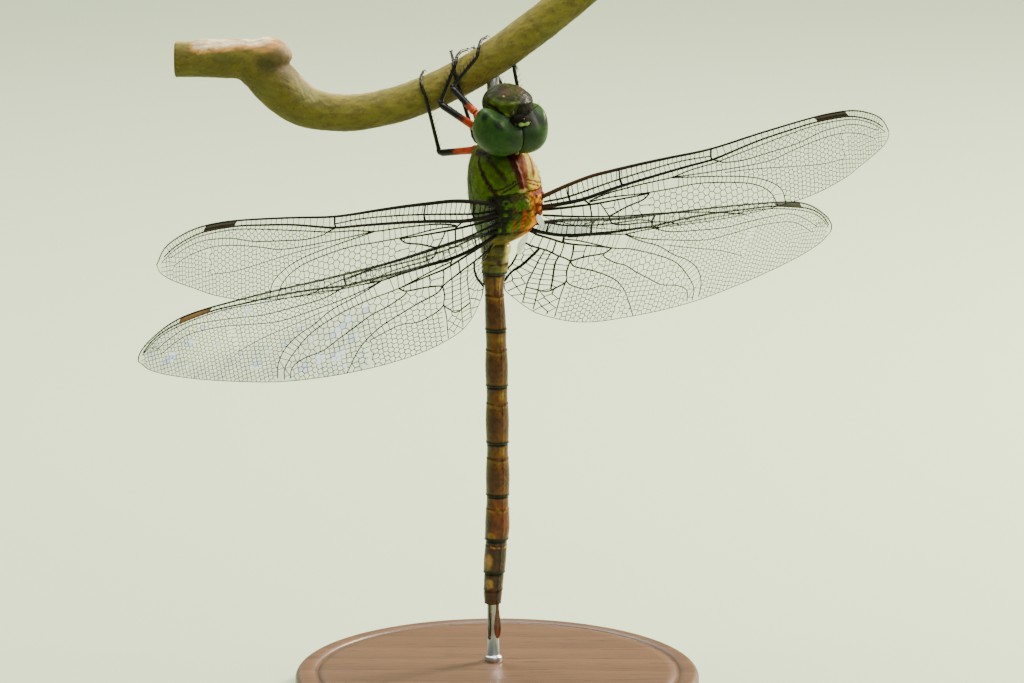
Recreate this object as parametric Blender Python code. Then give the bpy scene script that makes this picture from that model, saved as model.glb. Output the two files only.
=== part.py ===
"""A hawker dragonfly at life size, hanging from a cut length of twig on a small wooden display stand.

The model is still: no piece moves. Lengths are written in millimetres and every mesh is scaled to metres
when it is made. The world's origin is the centre of the stand's underside, +Z up. The insect hangs head
up; its body frame has +Z forward along the body, +X to the insect's right and -Y out of its back.
"""

from math import cos, pi, radians, sin

import bmesh
import bpy
from mathutils import Matrix, Vector

MM = 0.001
GAP = 0.05                      # clearance between neighbouring solids

# Stand
BASE_RADIUS = 25.0
BASE_HEIGHT = 4.0
BASE_BEVEL = 0.5
BASE_SIDES = 48
ROD_RADIUS = 0.75
ROD_X = -0.5
ROD_Y = 4.5
ROD_BOTTOM = 1.5
ROD_TOP = 79.4
ROD_SIDES = 20
HOLE_EASE = 0.06

# Perch: the twig's centre line in the plane y = ROD_Y, as x, z and radius
TWIG_SIDES = 16
TWIG_AXIS = [
    (-39.3, 80.2, 2.2), (-36.2, 80.2, 2.2), (-33.2, 80.1, 2.25), (-30.8, 80.0, 2.4), (-28.9, 79.0, 2.7),
    (-27.3, 77.5, 2.9), (-25.6, 75.8, 2.8), (-23.8, 74.5, 2.6), (-21.3, 73.75, 2.35), (-18.2, 73.5, 2.25),
    (-14.9, 73.9, 2.2), (-11.8, 74.7, 2.2), (-8.8, 75.8, 2.2), (-5.1, 77.5, 2.2), (-2.7, 78.9, 2.2),
    (0.1, 80.7, 2.2), (2.8, 82.7, 2.2), (5.9, 85.1, 2.2), (8.9, 87.6, 2.2), (11.3, 89.6, 2.2),
]
NODE_CENTRE = Vector((-28.9, ROD_Y, 80.5))
NODE_SIZE = (3.0, 2.7, 2.4)

# Body pose
BODY_YAW = radians(28.4)
THORAX_CENTRE = Vector((1.0, -5.4, 65.3))
THORAX_LEAN = (0.0, radians(-3.5))
HEAD_CENTRE = Vector((1.35, -6.9, 74.15))
HEAD_YAW = radians(31.0)
HEAD_PITCH = radians(22.0)

# Thorax sections: height along the body, half width, reach to the back, reach to the breast, side shift
THORAX_SIDES = 28
THORAX_SECTIONS = [
    (-6.0, 2.0, -0.1, 3.9, -0.6), (-5.2, 2.8, 1.5, 4.4, -0.4), (-4.0, 3.55, 3.3, 4.8, -0.15),
    (-2.4, 4.1, 4.3, 5.1, 0.0), (-0.4, 4.4, 4.6, 5.3, 0.0), (1.6, 4.4, 4.4, 5.4, 0.0),
    (3.4, 4.1, 3.7, 5.3, 0.0), (4.8, 3.5, 2.6, 5.0, 0.0), (5.8, 2.7, 1.3, 4.6, 0.0), (6.3, 1.7, 0.2, 3.9, 0.0),
]
PROTHORAX_SECTIONS = [
    (6.38, 1.5, 0.1, 3.5, 0.0), (6.8, 1.8, 0.5, 3.7, 0.0), (7.4, 1.7, 0.5, 3.5, 0.0), (7.9, 1.1, 0.1, 2.8, 0.0),
]

# Head, in its own frame about the midpoint of the eyes
EYE_CENTRE = (1.63, -0.6, -0.15)
EYE_SIZE = (3.05, 3.55, 2.75)
FACE_CENTRE = (0.0, 1.1, 2.45)
FACE_SIZE = (3.0, 3.0, 2.45)
CAPSULE_CENTRE = (0.0, 0.3, -0.1)
CAPSULE_SIZE = (3.3, 3.3, 2.75)
MOUTH_CENTRE = (0.0, 3.2, 2.2)
MOUTH_SIZE = (1.9, 1.75, 2.3)
MOUTH_GRID = (16, 10)
ANTENNA_ROOT = (1.25, -1.95, 3.35)
ANTENNA_TIP = (2.0, -3.0, 5.3)
ANTENNA_RADIUS = 0.26

# Abdomen: lower edge of each of the ten segments, and half widths at its top, middle and lower edge
ABDOMEN_TOP = 58.98
ABDOMEN_Y = -3.95
ABDOMEN_SIDES = 18
ABDOMEN_GAP = 0.06
SEGMENTS = [
    (57.9, 1.8, 1.85, 1.78), (55.35, 1.72, 1.65, 1.45), (48.3, 1.36, 1.1, 1.25), (41.25, 1.27, 1.3, 1.33),
    (34.1, 1.31, 1.34, 1.36), (27.5, 1.33, 1.36, 1.4), (21.9, 1.37, 1.42, 1.4), (17.7, 1.35, 1.3, 1.24),
    (15.5, 1.22, 1.2, 1.16), (13.8, 1.15, 1.1, 0.98),
]
ABDOMEN_BEND = [
    (60.0, 0.0), (57.0, -0.22), (54.0, -0.36), (48.0, -0.12), (41.0, 0.0), (30.0, 0.08), (23.4, 0.04),
    (19.0, -0.28), (15.0, -0.52), (8.0, -0.62),
]
CERCUS_LENGTH = 4.7
CERCUS_WIDTH = 1.05
CERCUS_THICKNESS = 0.5
CERCUS_OFFSET = 0.55
CERCUS_TURN = radians(62.0)
EPIPROCT_LENGTH = 2.9

# Wings, in a frame with +X from root to tip, +Y to the leading edge and +Z out of the back
WING_THICKNESS = 0.5
WING_STATIONS = 22
WING_STRIPS = 4
WING_ROOT_OVERRUN = 1.3
WAIST_CLEARANCE = 0.15         # between the hind wings and the abdomen
FORE_LEAD = [
    (0.0, 0.0), (3.3, 0.9), (6.3, 1.45), (9.2, 1.65), (13.2, 1.85), (17.0, 1.95), (22.9, 2.1), (29.5, 2.95),
    (36.8, 3.7), (41.2, 3.65), (44.1, 2.95), (46.2, 1.8), (47.3, 0.0),
]
FORE_TRAIL = [
    (0.3, -2.6), (1.6, -3.3), (5.0, -4.7), (10.0, -5.9), (16.0, -6.6), (23.0, -7.0), (29.0, -6.9), (35.0, -6.25),
    (39.5, -4.95), (42.6, -3.5), (45.1, -2.3), (46.8, -1.1), (47.3, 0.0),
]
HIND_LEAD = [
    (0.0, 0.0), (5.1, 0.55), (8.8, 0.7), (14.0, 0.9), (18.6, 1.35), (23.3, 1.9), (27.8, 2.5), (34.2, 3.2),
    (39.5, 3.55), (42.6, 3.15), (45.4, 1.85), (46.9, 0.6), (47.3, -0.5),
]
HIND_TRAIL = [
    (0.5, -2.8), (1.1, -5.8), (1.3, -9.6), (3.9, -11.5), (8.0, -12.8), (12.7, -13.4), (18.3, -13.1), (24.2, -12.1),
    (30.1, -10.5), (35.5, -8.3), (41.0, -5.6), (45.6, -2.7), (47.3, -0.5),
]
FOLD_SPAN = 8.0                 # the hind wing's inner corner bends down beside the abdomen
FOLD_CHORD = 8.5
FOLD_DEPTHS = {"left": 7.5, "right": 4.0}
# name, root and tip in the thorax frame (right-hand wings), tilt of the chord, edges, folded or flat
WINGS = [
    ("wing_fore", Vector((3.04, -3.66, 0.0)), Vector((50.15, -7.09, 1.18)), radians(2.0), FORE_LEAD, FORE_TRAIL, False),
    (
        "wing_hind", Vector((2.46, -2.77, -3.41)), Vector((48.2, 4.46, -12.92)), radians(18.0),
        HIND_LEAD, HIND_TRAIL, True,
    ),
]

# Legs: coxa, trochanter and knee in world millimetres, then the twig grip as (x, degrees round the twig
# from the front over the top, distance off the bark) for the end of the shin and along the foot
LEG_SIDES = 8
FEMUR_RADII = (0.55, 0.5, 0.42, 0.34)
TIBIA_RADIUS = 0.26
TARSUS_RADIUS = 0.25
ANKLE_GAP = 0.3
LEGS = {
    "leg_fore_left": (
        (-1.6, -2.6, 72.4), (-2.5, -1.5, 74.6), (-5.5, 0.7, 77.4),
        (-1.56, 31, 0.9), [(-0.95, 50, 0.85), (-0.45, 72, 0.7), (0.0, 99, 0.4)],
    ),
    "leg_mid_left": (
        (-1.8, -2.1, 70.4), (-2.1, -1.3, 72.5), (-6.95, 0.7, 75.4),
        (-3.9, 40, 1.3), [(-3.5, 57, 1.1), (-2.95, 80, 0.7), (-2.4, 99, 0.4)],
    ),
    "leg_hind_left": (
        (-1.8, -1.7, 68.2), (-2.5, -1.4, 70.1), (-7.0, 1.6, 69.1),
        (-8.6, 6, 0.45), [(-8.55, 35, 0.4), (-8.3, 65, 0.4), (-7.95, 98, 0.38)],
    ),
    "leg_fore_right": (
        (0.2, -1.6, 72.6), (0.1, -0.5, 74.6), (3.0, 2.2, 74.6),
        (0.8, -50, 0.5), [(0.8, -80, 0.45), (0.7, -115, 0.4), (0.6, -150, 0.38)],
    ),
    "leg_mid_right": (
        (-0.4, -1.4, 70.6), (-0.5, -0.6, 72.3), (1.7, 6.0, 74.3),
        (-1.2, 205, 0.6), [(-1.4, 180, 0.45), (-1.6, 155, 0.4), (-1.7, 130, 0.38)],
    ),
    "leg_hind_right": (
        (0.0, -1.5, 67.6), (0.2, -1.1, 69.4), (-2.75, 1.5, 71.0),
        (-4.6, 24, 0.35), [(-4.3, 50, 0.35), (-4.1, 80, 0.4), (-4.0, 100, 1.0)],
    ),
}

COLOURS = {
    "eye": ((0.018, 0.095, 0.012), 0.22, 0.0),
    "face": ((0.10, 0.13, 0.015), 0.25, 0.0),
    "head_shell": ((0.05, 0.07, 0.012), 0.45, 0.0),
    "thorax_shell": ((0.13, 0.22, 0.02), 0.5, 0.0),
    "wing": ((0.55, 0.62, 0.5), 0.2, 0.0),
    "leg_red": ((0.35, 0.07, 0.02), 0.4, 0.0),
    "leg_black": ((0.012, 0.012, 0.012), 0.4, 0.0),
    "abdomen_shell": ((0.30, 0.14, 0.02), 0.4, 0.0),
    "tail_shell": ((0.06, 0.035, 0.012), 0.4, 0.0),
    "twig": ((0.17, 0.14, 0.03), 0.75, 0.0),
    "stand_metal": ((0.25, 0.25, 0.25), 0.35, 1.0),
    "stand_wood": ((0.30, 0.18, 0.09), 0.55, 0.0),
}


def clear_scene():
    for obj in list(bpy.data.objects):
        bpy.data.objects.remove(obj, do_unlink=True)


def make_material(name):
    colour, roughness, metallic = COLOURS[name]
    material = bpy.data.materials.new(name)
    material.use_nodes = True
    shader = material.node_tree.nodes["Principled BSDF"]
    shader.inputs["Base Color"].default_value = (*colour, 1.0)
    shader.inputs["Roughness"].default_value = roughness
    shader.inputs["Metallic"].default_value = metallic
    return material


def material_named(name):
    return bpy.data.materials.get(name) or make_material(name)


def add_object(name, bm, material, parent=None, smooth_angle=50.0):
    """Scales a bmesh from millimetres to metres and turns it into a named object."""
    bmesh.ops.scale(bm, vec=(MM, MM, MM), verts=bm.verts)
    bmesh.ops.recalc_face_normals(bm, faces=bm.faces)
    mesh = bpy.data.meshes.new(name)
    bm.to_mesh(mesh)
    bm.free()
    mesh.shade_smooth()
    mesh.set_sharp_from_angle(angle=radians(smooth_angle))
    obj = bpy.data.objects.new(name, mesh)
    obj.data.materials.append(material_named(material))
    obj.parent = parent
    bpy.context.scene.collection.objects.link(obj)
    return obj


def add_empty(name, place, rotation, parent=None):
    empty = bpy.data.objects.new(name, None)
    empty.location = place * MM
    empty.rotation_euler = rotation
    empty.parent = parent
    bpy.context.scene.collection.objects.link(empty)
    return empty


def as_cutter(obj):
    obj.hide_render = True
    obj.display_type = "WIRE"
    return obj


def boolean(obj, other, operation="DIFFERENCE"):
    modifier = obj.modifiers.new(operation.title(), "BOOLEAN")
    modifier.operation = operation
    modifier.object = other
    modifier.solver = "EXACT"


def bridge(bm, rings):
    """Joins rings of vertices into a closed tube with flat ends."""
    count = len(rings[0])
    for lower, upper in zip(rings, rings[1:]):
        for i in range(count):
            j = (i + 1) % count
            bm.faces.new((lower[i], lower[j], upper[j], upper[i]))
    bm.faces.new(rings[0])
    bm.faces.new(rings[-1])


def body_section(z, half_width, back, breast, shift, sides):
    """One ring of the trunk: rounded, with a faint keel along the back."""
    centre = (breast - back) / 2
    half_height = (breast + back) / 2
    ring = []
    for i in range(sides):
        angle = 2 * pi * i / sides
        across = sin(angle)
        along = cos(angle)
        boxy = 1.0 + 0.05 * sin(2 * angle) ** 2
        ring.append(Vector((shift + half_width * across * boxy, centre - half_height * along * boxy, z)))
    return ring


def trunk(sections, sides, swell=0.0):
    bm = bmesh.new()
    rings = []
    ends = (sections[0][0], sections[-1][0])
    for z, half_width, back, breast, shift in sections:
        lift = -swell if z == ends[0] else swell if z == ends[1] else 0.0
        ring = body_section(z + lift, half_width + swell, back + swell, breast + swell, shift, sides)
        rings.append([bm.verts.new(point) for point in ring])
    bridge(bm, rings)
    return bm


def ellipsoid(centre, size, swell=0.0, sides=22, rings=12):
    bm = bmesh.new()
    bmesh.ops.create_uvsphere(bm, u_segments=sides, v_segments=rings, radius=1.0)
    grown = [half + swell for half in size]
    bmesh.ops.transform(bm, matrix=Matrix.Translation(centre) @ Matrix.Diagonal((*grown, 1.0)), verts=bm.verts)
    return bm


def sweep(points, radii, sides):
    """A tube of changing radius along a path, its rings kept from twisting."""
    bm = bmesh.new()
    points = [Vector(point) for point in points]
    last = len(points) - 1
    side = None
    rings = []
    for i, (point, radius) in enumerate(zip(points, radii)):
        tangent = (points[min(i + 1, last)] - points[max(i - 1, 0)]).normalized()
        if side is None:
            side = tangent.orthogonal().normalized()
        side = (side - tangent * side.dot(tangent)).normalized()
        other = tangent.cross(side)
        ring = []
        for k in range(sides):
            angle = 2 * pi * k / sides
            ring.append(bm.verts.new(point + (side * cos(angle) + other * sin(angle)) * radius))
        rings.append(ring)
    bridge(bm, rings)
    return bm


def catmull(points, steps, closed=False):
    """A smooth curve through a few points, with the given number of steps between neighbours."""
    count = len(points)
    spans = count if closed else count - 1
    curve = []
    for i in range(spans):
        if closed:
            a, b, c, d = (points[(i + k) % count] for k in (-1, 0, 1, 2))
        else:
            a, b, c, d = (points[min(max(i + k, 0), count - 1)] for k in (-1, 0, 1, 2))
        for step in range(steps):
            t = step / steps
            curve.append(tuple(
                0.5 * (2 * q + (r - p) * t + (2 * p - 5 * q + 4 * r - s) * t ** 2 + (3 * q - p - 3 * r + s) * t ** 3)
                for p, q, r, s in zip(a, b, c, d)
            ))
    if not closed:
        curve.append(tuple(points[-1]))
    return curve


def interpolate(table, key):
    """Value at a key in a table of (key, value) rows sorted downwards."""
    for (high, first), (low, second) in zip(table, table[1:]):
        if low <= key <= high:
            return second + (first - second) * (key - low) / (high - low)
    return table[0][1] if key > table[0][0] else table[-1][1]


def twig_frame(x):
    """Centre, front and upper directions across the twig, and its radius, at a place along x."""
    for (x0, z0, r0), (x1, z1, r1) in zip(TWIG_AXIS, TWIG_AXIS[1:]):
        if x0 <= x <= x1:
            share = (x - x0) / (x1 - x0)
            along = Vector((x1 - x0, 0.0, z1 - z0)).normalized()
            centre = Vector((x, ROD_Y, z0 + (z1 - z0) * share))
            upward = Vector((-along.z, 0.0, along.x))
            return centre, Vector((0.0, -1.0, 0.0)), upward, r0 + (r1 - r0) * share
    raise ValueError("place is off the twig")


def on_twig(x, degrees, lift):
    centre, front, up, radius = twig_frame(x)
    angle = radians(degrees)
    return centre + (front * cos(angle) + up * sin(angle)) * (radius + lift)


def build_stand():
    base = bmesh.new()
    bmesh.ops.create_cone(
        base, cap_ends=True, segments=BASE_SIDES, radius1=BASE_RADIUS, radius2=BASE_RADIUS, depth=BASE_HEIGHT
    )
    bmesh.ops.translate(base, vec=(0.0, 0.0, BASE_HEIGHT / 2), verts=base.verts)
    rim = [edge for edge in base.edges if len(edge.link_faces) == 2 and edge.calc_face_angle() > 1.0]
    bmesh.ops.bevel(base, geom=rim, offset=BASE_BEVEL, segments=1, profile=0.5, affect="EDGES", material=-1)
    base = add_object("stand_base", base, "stand_wood", smooth_angle=30.0)
    rod = rod_mesh(ROD_RADIUS, ROD_BOTTOM, ROD_TOP)
    add_object("stand_rod", rod, "stand_metal")
    socket = as_cutter(add_object("cut_base", rod_mesh(ROD_RADIUS + HOLE_EASE, ROD_BOTTOM - HOLE_EASE, 6.0), "twig"))
    boolean(base, socket)


def rod_mesh(radius, bottom, top):
    bm = bmesh.new()
    bmesh.ops.create_cone(bm, cap_ends=True, segments=ROD_SIDES, radius1=radius, radius2=radius, depth=top - bottom)
    bmesh.ops.translate(bm, vec=(ROD_X, ROD_Y, (top + bottom) / 2), verts=bm.verts)
    return bm


def build_perch():
    path = [(x, ROD_Y, z) for x, z, _ in TWIG_AXIS]
    twig = add_object("perch", sweep(path, [radius for *_, radius in TWIG_AXIS], TWIG_SIDES), "twig")
    knot = as_cutter(add_object("join_node", ellipsoid(NODE_CENTRE, NODE_SIZE, sides=16, rings=10), "twig"))
    boolean(twig, knot, "UNION")
    hole = as_cutter(add_object("cut_perch", rod_mesh(ROD_RADIUS + HOLE_EASE, 70.0, ROD_TOP + HOLE_EASE), "twig"))
    boolean(twig, hole)


def build_head(head):
    face = add_object("face", ellipsoid(FACE_CENTRE, FACE_SIZE), "face", head)
    cut_face = as_cutter(add_object("cut_face", ellipsoid(FACE_CENTRE, FACE_SIZE, GAP), "face", head))
    cut_mouth = ellipsoid(MOUTH_CENTRE, MOUTH_SIZE, GAP, *MOUTH_GRID)
    cut_mouth = as_cutter(add_object("cut_mouth", cut_mouth, "face", head))
    capsule = add_object("head", ellipsoid(CAPSULE_CENTRE, CAPSULE_SIZE), "head_shell", head)
    mouth = add_object("mouthparts", ellipsoid(MOUTH_CENTRE, MOUTH_SIZE, 0.0, *MOUTH_GRID), "face", head)
    boolean(mouth, cut_face)
    for name, side in (("left", -1), ("right", 1)):
        centre = (EYE_CENTRE[0] * side, EYE_CENTRE[1], EYE_CENTRE[2])
        eye = add_object(f"eye_{name}", ellipsoid(centre, EYE_SIZE), "eye", head)
        cut_eye = as_cutter(add_object(f"cut_eye_{name}", ellipsoid(centre, EYE_SIZE, GAP), "eye", head))
        half = bmesh.new()
        bmesh.ops.create_cube(half, size=10.0)
        bmesh.ops.translate(half, vec=(-side * (5.0 - GAP / 2), 0.0, 0.0), verts=half.verts)
        half = as_cutter(add_object(f"cut_half_{name}", half, "eye", head))
        boolean(eye, half)
        boolean(eye, cut_face)
        boolean(capsule, cut_eye)
        boolean(mouth, cut_eye)
        root = Vector((ANTENNA_ROOT[0] * side, *ANTENNA_ROOT[1:]))
        tip = Vector((ANTENNA_TIP[0] * side, *ANTENNA_TIP[1:]))
        feeler = sweep([root, root.lerp(tip, 0.3), tip], [ANTENNA_RADIUS] * 3, 6)
        feeler = add_object(f"antenna_{name}", feeler, "leg_black", head)
        boolean(feeler, cut_face)
        boolean(feeler, cut_eye)
    boolean(capsule, cut_face)
    boolean(capsule, cut_mouth)
    cut_head = as_cutter(add_object("cut_head", ellipsoid(CAPSULE_CENTRE, CAPSULE_SIZE, GAP), "head_shell", head))
    return [cut_head, bpy.data.objects["cut_eye_left"], bpy.data.objects["cut_eye_right"]]


def build_thorax(thorax, head_cutters):
    add_object("thorax", trunk(THORAX_SECTIONS, THORAX_SIDES), "thorax_shell", thorax)
    collar = add_object("prothorax", trunk(PROTHORAX_SECTIONS, THORAX_SIDES // 2), "thorax_shell", thorax)
    for head_cutter in head_cutters:
        boolean(collar, head_cutter)
    cutter = as_cutter(add_object("cut_thorax", trunk(THORAX_SECTIONS, THORAX_SIDES, GAP), "thorax_shell", thorax))
    neck = as_cutter(
        add_object("cut_prothorax", trunk(PROTHORAX_SECTIONS, THORAX_SIDES // 2, GAP), "thorax_shell", thorax)
    )
    return cutter, neck


def resample(points, count):
    """Points at even distances along a smooth curve through the given ones."""
    curve = [Vector(point) for point in catmull(points, 6)]
    lengths = [0.0]
    for first, second in zip(curve, curve[1:]):
        lengths.append(lengths[-1] + (second - first).length)
    evenly = []
    i = 0
    for step in range(count):
        goal = lengths[-1] * step / (count - 1)
        while i < len(curve) - 2 and lengths[i + 1] < goal:
            i += 1
        share = (goal - lengths[i]) / (lengths[i + 1] - lengths[i])
        evenly.append(curve[i].lerp(curve[i + 1], min(share, 1.0)))
    return evenly


def fold_drop(x, y, depth):
    """How far a point of the hind wing lies below the wing's plane, near its inner corner."""
    share = min(max((FOLD_SPAN - x) / FOLD_SPAN, 0.0), 1.0)
    return depth * share * share * min(max(-y / FOLD_CHORD, 0.0), 1.0)


def wing_mesh(lead, trail, depth, side):
    """A thin plate between the two edges, run a little past the root so the thorax can trim it."""
    bm = bmesh.new()
    lead = resample(lead, WING_STATIONS)
    trail = resample(trail, WING_STATIONS)
    overrun = Vector((WING_ROOT_OVERRUN, 0.0))
    chords = [(lead[0] - overrun, trail[0] - overrun)] + list(zip(lead, trail))[:-1]
    sheets = []
    for height in (-WING_THICKNESS / 2, WING_THICKNESS / 2):
        rows = []
        for front, rear in chords:
            row = []
            for strip in range(WING_STRIPS + 1):
                point = front.lerp(rear, strip / WING_STRIPS)
                z = height - fold_drop(point.x, point.y, depth)
                row.append(bm.verts.new((side * point.x, point.y, z)))
            rows.append(row)
        tip = bm.verts.new((side * lead[-1].x, lead[-1].y, height))
        sheets.append((rows, tip))
        for first, second in zip(rows, rows[1:]):
            for k in range(WING_STRIPS):
                bm.faces.new((first[k], first[k + 1], second[k + 1], second[k]))
        for k in range(WING_STRIPS):
            bm.faces.new((rows[-1][k], rows[-1][k + 1], tip))
    (lower, lower_tip), (upper, upper_tip) = sheets
    rim_low = [row[0] for row in lower] + [lower_tip] + [row[-1] for row in reversed(lower)] + lower[0][-2:0:-1]
    rim_high = [row[0] for row in upper] + [upper_tip] + [row[-1] for row in reversed(upper)] + upper[0][-2:0:-1]
    for i in range(len(rim_low)):
        j = (i + 1) % len(rim_low)
        bm.faces.new((rim_low[i], rim_low[j], rim_high[j], rim_high[i]))
    return bm


def wing_frame(root, tip, tilt, side):
    """The wing's axes in the thorax frame: outward, to the leading edge, and out of the back."""
    mirror = Vector((side, 1.0, 1.0))
    span = (tip - root).normalized()
    lead = Vector((0.0, 0.0, 1.0))
    lead = (lead - span * span.dot(lead)).normalized()
    back = span.cross(lead)
    if back.y > 0:
        back = -back
    lead, back = lead * cos(tilt) + back * sin(tilt), back * cos(tilt) - lead * sin(tilt)
    axes = [axis * mirror for axis in (span, lead, back)]
    axes[0] = axes[0] * side
    frame = Matrix(axes).transposed().to_4x4()
    frame.translation = root * mirror * MM
    return frame


def build_wings(thorax, cutter):
    waist = sweep(*waist_path(), ABDOMEN_SIDES)
    waist = as_cutter(add_object("cut_waist", waist, "wing"))
    for stem, root, tip, tilt, lead, trail, folded in WINGS:
        for name, side in (("left", -1), ("right", 1)):
            depth = FOLD_DEPTHS[name] if folded else 0.0
            wing = add_object(f"{stem}_{name}", wing_mesh(lead, trail, depth, side), "wing", thorax, 30.0)
            wing.matrix_local = wing_frame(root, tip, tilt, side)
            boolean(wing, cutter)
            if folded:
                boolean(wing, waist)


def waist_path():
    """Centre line and radii of a tube a little wider than the top three abdomen segments."""
    heights = [ABDOMEN_TOP + 0.3, SEGMENTS[0][0], SEGMENTS[1][0], SEGMENTS[2][0]]
    radii = [SEGMENTS[0][1], SEGMENTS[0][2], SEGMENTS[1][2], SEGMENTS[2][1]]
    return [abdomen_centre(z) for z in heights], [radius + WAIST_CLEARANCE for radius in radii]


def abdomen_centre(z):
    return Vector((interpolate(ABDOMEN_BEND, z), ABDOMEN_Y, z))


def segment_mesh(top, bottom, radii):
    bm = bmesh.new()
    first, middle, last = radii
    height = top - bottom
    rows = [
        (0.0, first * 0.94), (0.06, first), (0.5, middle), (0.94, last), (1.0, last * 0.94),
    ]
    rings = []
    for share, radius in rows:
        z = top - height * share
        centre = abdomen_centre(z)
        ring = []
        for k in range(ABDOMEN_SIDES):
            angle = 2 * pi * k / ABDOMEN_SIDES + BODY_YAW
            ring.append(bm.verts.new(centre + Vector((sin(angle), -cos(angle), 0.0)) * radius))
        rings.append(ring)
    bridge(bm, rings)
    return bm


def build_abdomen():
    top = ABDOMEN_TOP
    for number, (bottom, *radii) in enumerate(SEGMENTS, start=1):
        shell = "abdomen_shell" if number < 8 else "tail_shell"
        add_object(f"abdomen_s{number}", segment_mesh(top, bottom + ABDOMEN_GAP, radii), shell)
        top = bottom
    build_tail(top - ABDOMEN_GAP)


def build_tail(top):
    turned = Matrix.Rotation(BODY_YAW, 4, "Z")
    for name, side in (("left", -1), ("right", 1)):
        bm = bmesh.new()
        rings = []
        rows = [(0.0, 0.42), (0.2, 0.42), (0.45, 0.75), (0.68, 1.0), (0.87, 0.8), (1.0, 0.3)]
        for share, width in rows:
            half = CERCUS_WIDTH / 2 * width
            thick = max(CERCUS_THICKNESS / 2 * (1.0 - 0.35 * share), 0.14)
            ring = []
            for k in range(8):
                angle = 2 * pi * k / 8
                ring.append(bm.verts.new((half * cos(angle), thick * sin(angle), -CERCUS_LENGTH * share)))
            rings.append(ring)
        bridge(bm, rings)
        place = abdomen_centre(top) + turned @ Vector((CERCUS_OFFSET * side, -0.2, 0.0))
        turn = Matrix.Rotation(BODY_YAW - side * CERCUS_TURN, 4, "Z")
        bmesh.ops.transform(bm, matrix=Matrix.Translation(place) @ turn, verts=bm.verts)
        add_object(f"cercus_{name}", bm, "tail_shell")
    start = abdomen_centre(top) + turned @ Vector((0.0, 0.62, 0.0))
    end = start + Vector((0.0, 0.0, -EPIPROCT_LENGTH))
    add_object("epiproct", sweep([start, start.lerp(end, 0.5), end], [0.36, 0.32, 0.2], 8), "tail_shell")


def leg_path(start, end, trim):
    """The run from start to end, short of its start by a clearance."""
    direction = (end - start).normalized()
    return start + direction * trim, end


def build_legs(thorax_cutter, neck_cutter):
    for name, (coxa, trochanter, knee, shin_end, foot) in LEGS.items():
        coxa, trochanter, knee = Vector(coxa), Vector(trochanter), Vector(knee)
        thigh = [coxa, trochanter, trochanter.lerp(knee, 0.5), knee]
        thigh = add_object(f"{name}_femur", sweep(thigh, FEMUR_RADII, LEG_SIDES), "leg_red")
        boolean(thigh, thorax_cutter)
        boolean(thigh, neck_cutter)
        ankle = on_twig(*shin_end)
        start, end = leg_path(knee, ankle, FEMUR_RADII[-1] + GAP)
        shin = sweep(
            [start, start.lerp(end, 0.12), start.lerp(end, 0.9), end],
            [TIBIA_RADIUS * 0.8, TIBIA_RADIUS, TIBIA_RADIUS, TIBIA_RADIUS * 0.7], LEG_SIDES,
        )
        add_object(f"{name}_tibia", shin, "leg_black")
        toes = [on_twig(*step) for step in foot]
        start, _ = leg_path(ankle, toes[0], ANKLE_GAP)
        toe_path = catmull([tuple(start)] + [tuple(toe) for toe in toes], 2)
        thick = [TARSUS_RADIUS * 0.7] + [TARSUS_RADIUS] * (len(toe_path) - 2) + [TARSUS_RADIUS * 0.5]
        add_object(f"{name}_tarsus", sweep(toe_path, thick, LEG_SIDES), "leg_black")


def main():
    clear_scene()
    build_stand()
    build_perch()
    thorax = add_empty("thorax_pose", THORAX_CENTRE, (*THORAX_LEAN, BODY_YAW))
    head = add_empty("head_pose", HEAD_CENTRE, (HEAD_PITCH, 0.0, HEAD_YAW))
    head_cutters = build_head(head)
    thorax_cutter, neck_cutter = build_thorax(thorax, head_cutters)
    build_wings(thorax, thorax_cutter)
    build_abdomen()
    build_legs(thorax_cutter, neck_cutter)


main()
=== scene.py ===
"""A hawker dragonfly that hangs from a cut twig, life size, on a turned display stand.

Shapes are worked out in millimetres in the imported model's frame, and turned into metres as each
piece is finished. The body's own frames give places on the thorax, the head and the wings."""
import logging
from dataclasses import dataclass
from enum import Enum
from math import cos, pi, radians, sin, tau
from typing import Callable, Sequence, Union

import bmesh
import bpy
import numpy as np
from mathutils import Euler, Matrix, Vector


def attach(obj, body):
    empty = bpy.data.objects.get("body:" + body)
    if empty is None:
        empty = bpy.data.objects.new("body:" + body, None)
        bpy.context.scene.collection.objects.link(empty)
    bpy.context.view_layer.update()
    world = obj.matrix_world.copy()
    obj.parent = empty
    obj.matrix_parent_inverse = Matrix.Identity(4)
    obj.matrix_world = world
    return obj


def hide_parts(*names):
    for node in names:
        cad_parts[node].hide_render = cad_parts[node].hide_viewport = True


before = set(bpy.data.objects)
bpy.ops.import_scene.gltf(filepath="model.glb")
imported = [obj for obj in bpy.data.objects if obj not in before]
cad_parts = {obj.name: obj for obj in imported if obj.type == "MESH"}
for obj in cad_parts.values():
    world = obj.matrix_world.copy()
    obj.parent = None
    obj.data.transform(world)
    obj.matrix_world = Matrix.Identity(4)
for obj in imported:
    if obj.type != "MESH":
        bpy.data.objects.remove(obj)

LOG = logging.getLogger("dragonfly")
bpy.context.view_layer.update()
METRES = 0.001
ROOT_BODY = "root"
MARKINGS = "markings"
BAKE_MAP = "OFBake"

Array = np.ndarray
Material = bpy.types.Material
Colour = tuple[float, float, float]
Pair = tuple[float, float]
Triple = tuple[float, float, float]


class Slot(Enum):
    """The record's material slots, one for each kind of piece."""

    ABDOMEN = "abdomen_shell"
    TAIL = "tail_shell"
    EYE = "eye"
    FACE = "face"
    HEAD = "head_shell"
    THORAX = "thorax_shell"
    LEG_BLACK = "leg_black"
    LEG_RED = "leg_red"
    WING = "wing"
    TWIG = "twig"
    STEEL = "stand_metal"
    WOOD = "stand_wood"


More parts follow.
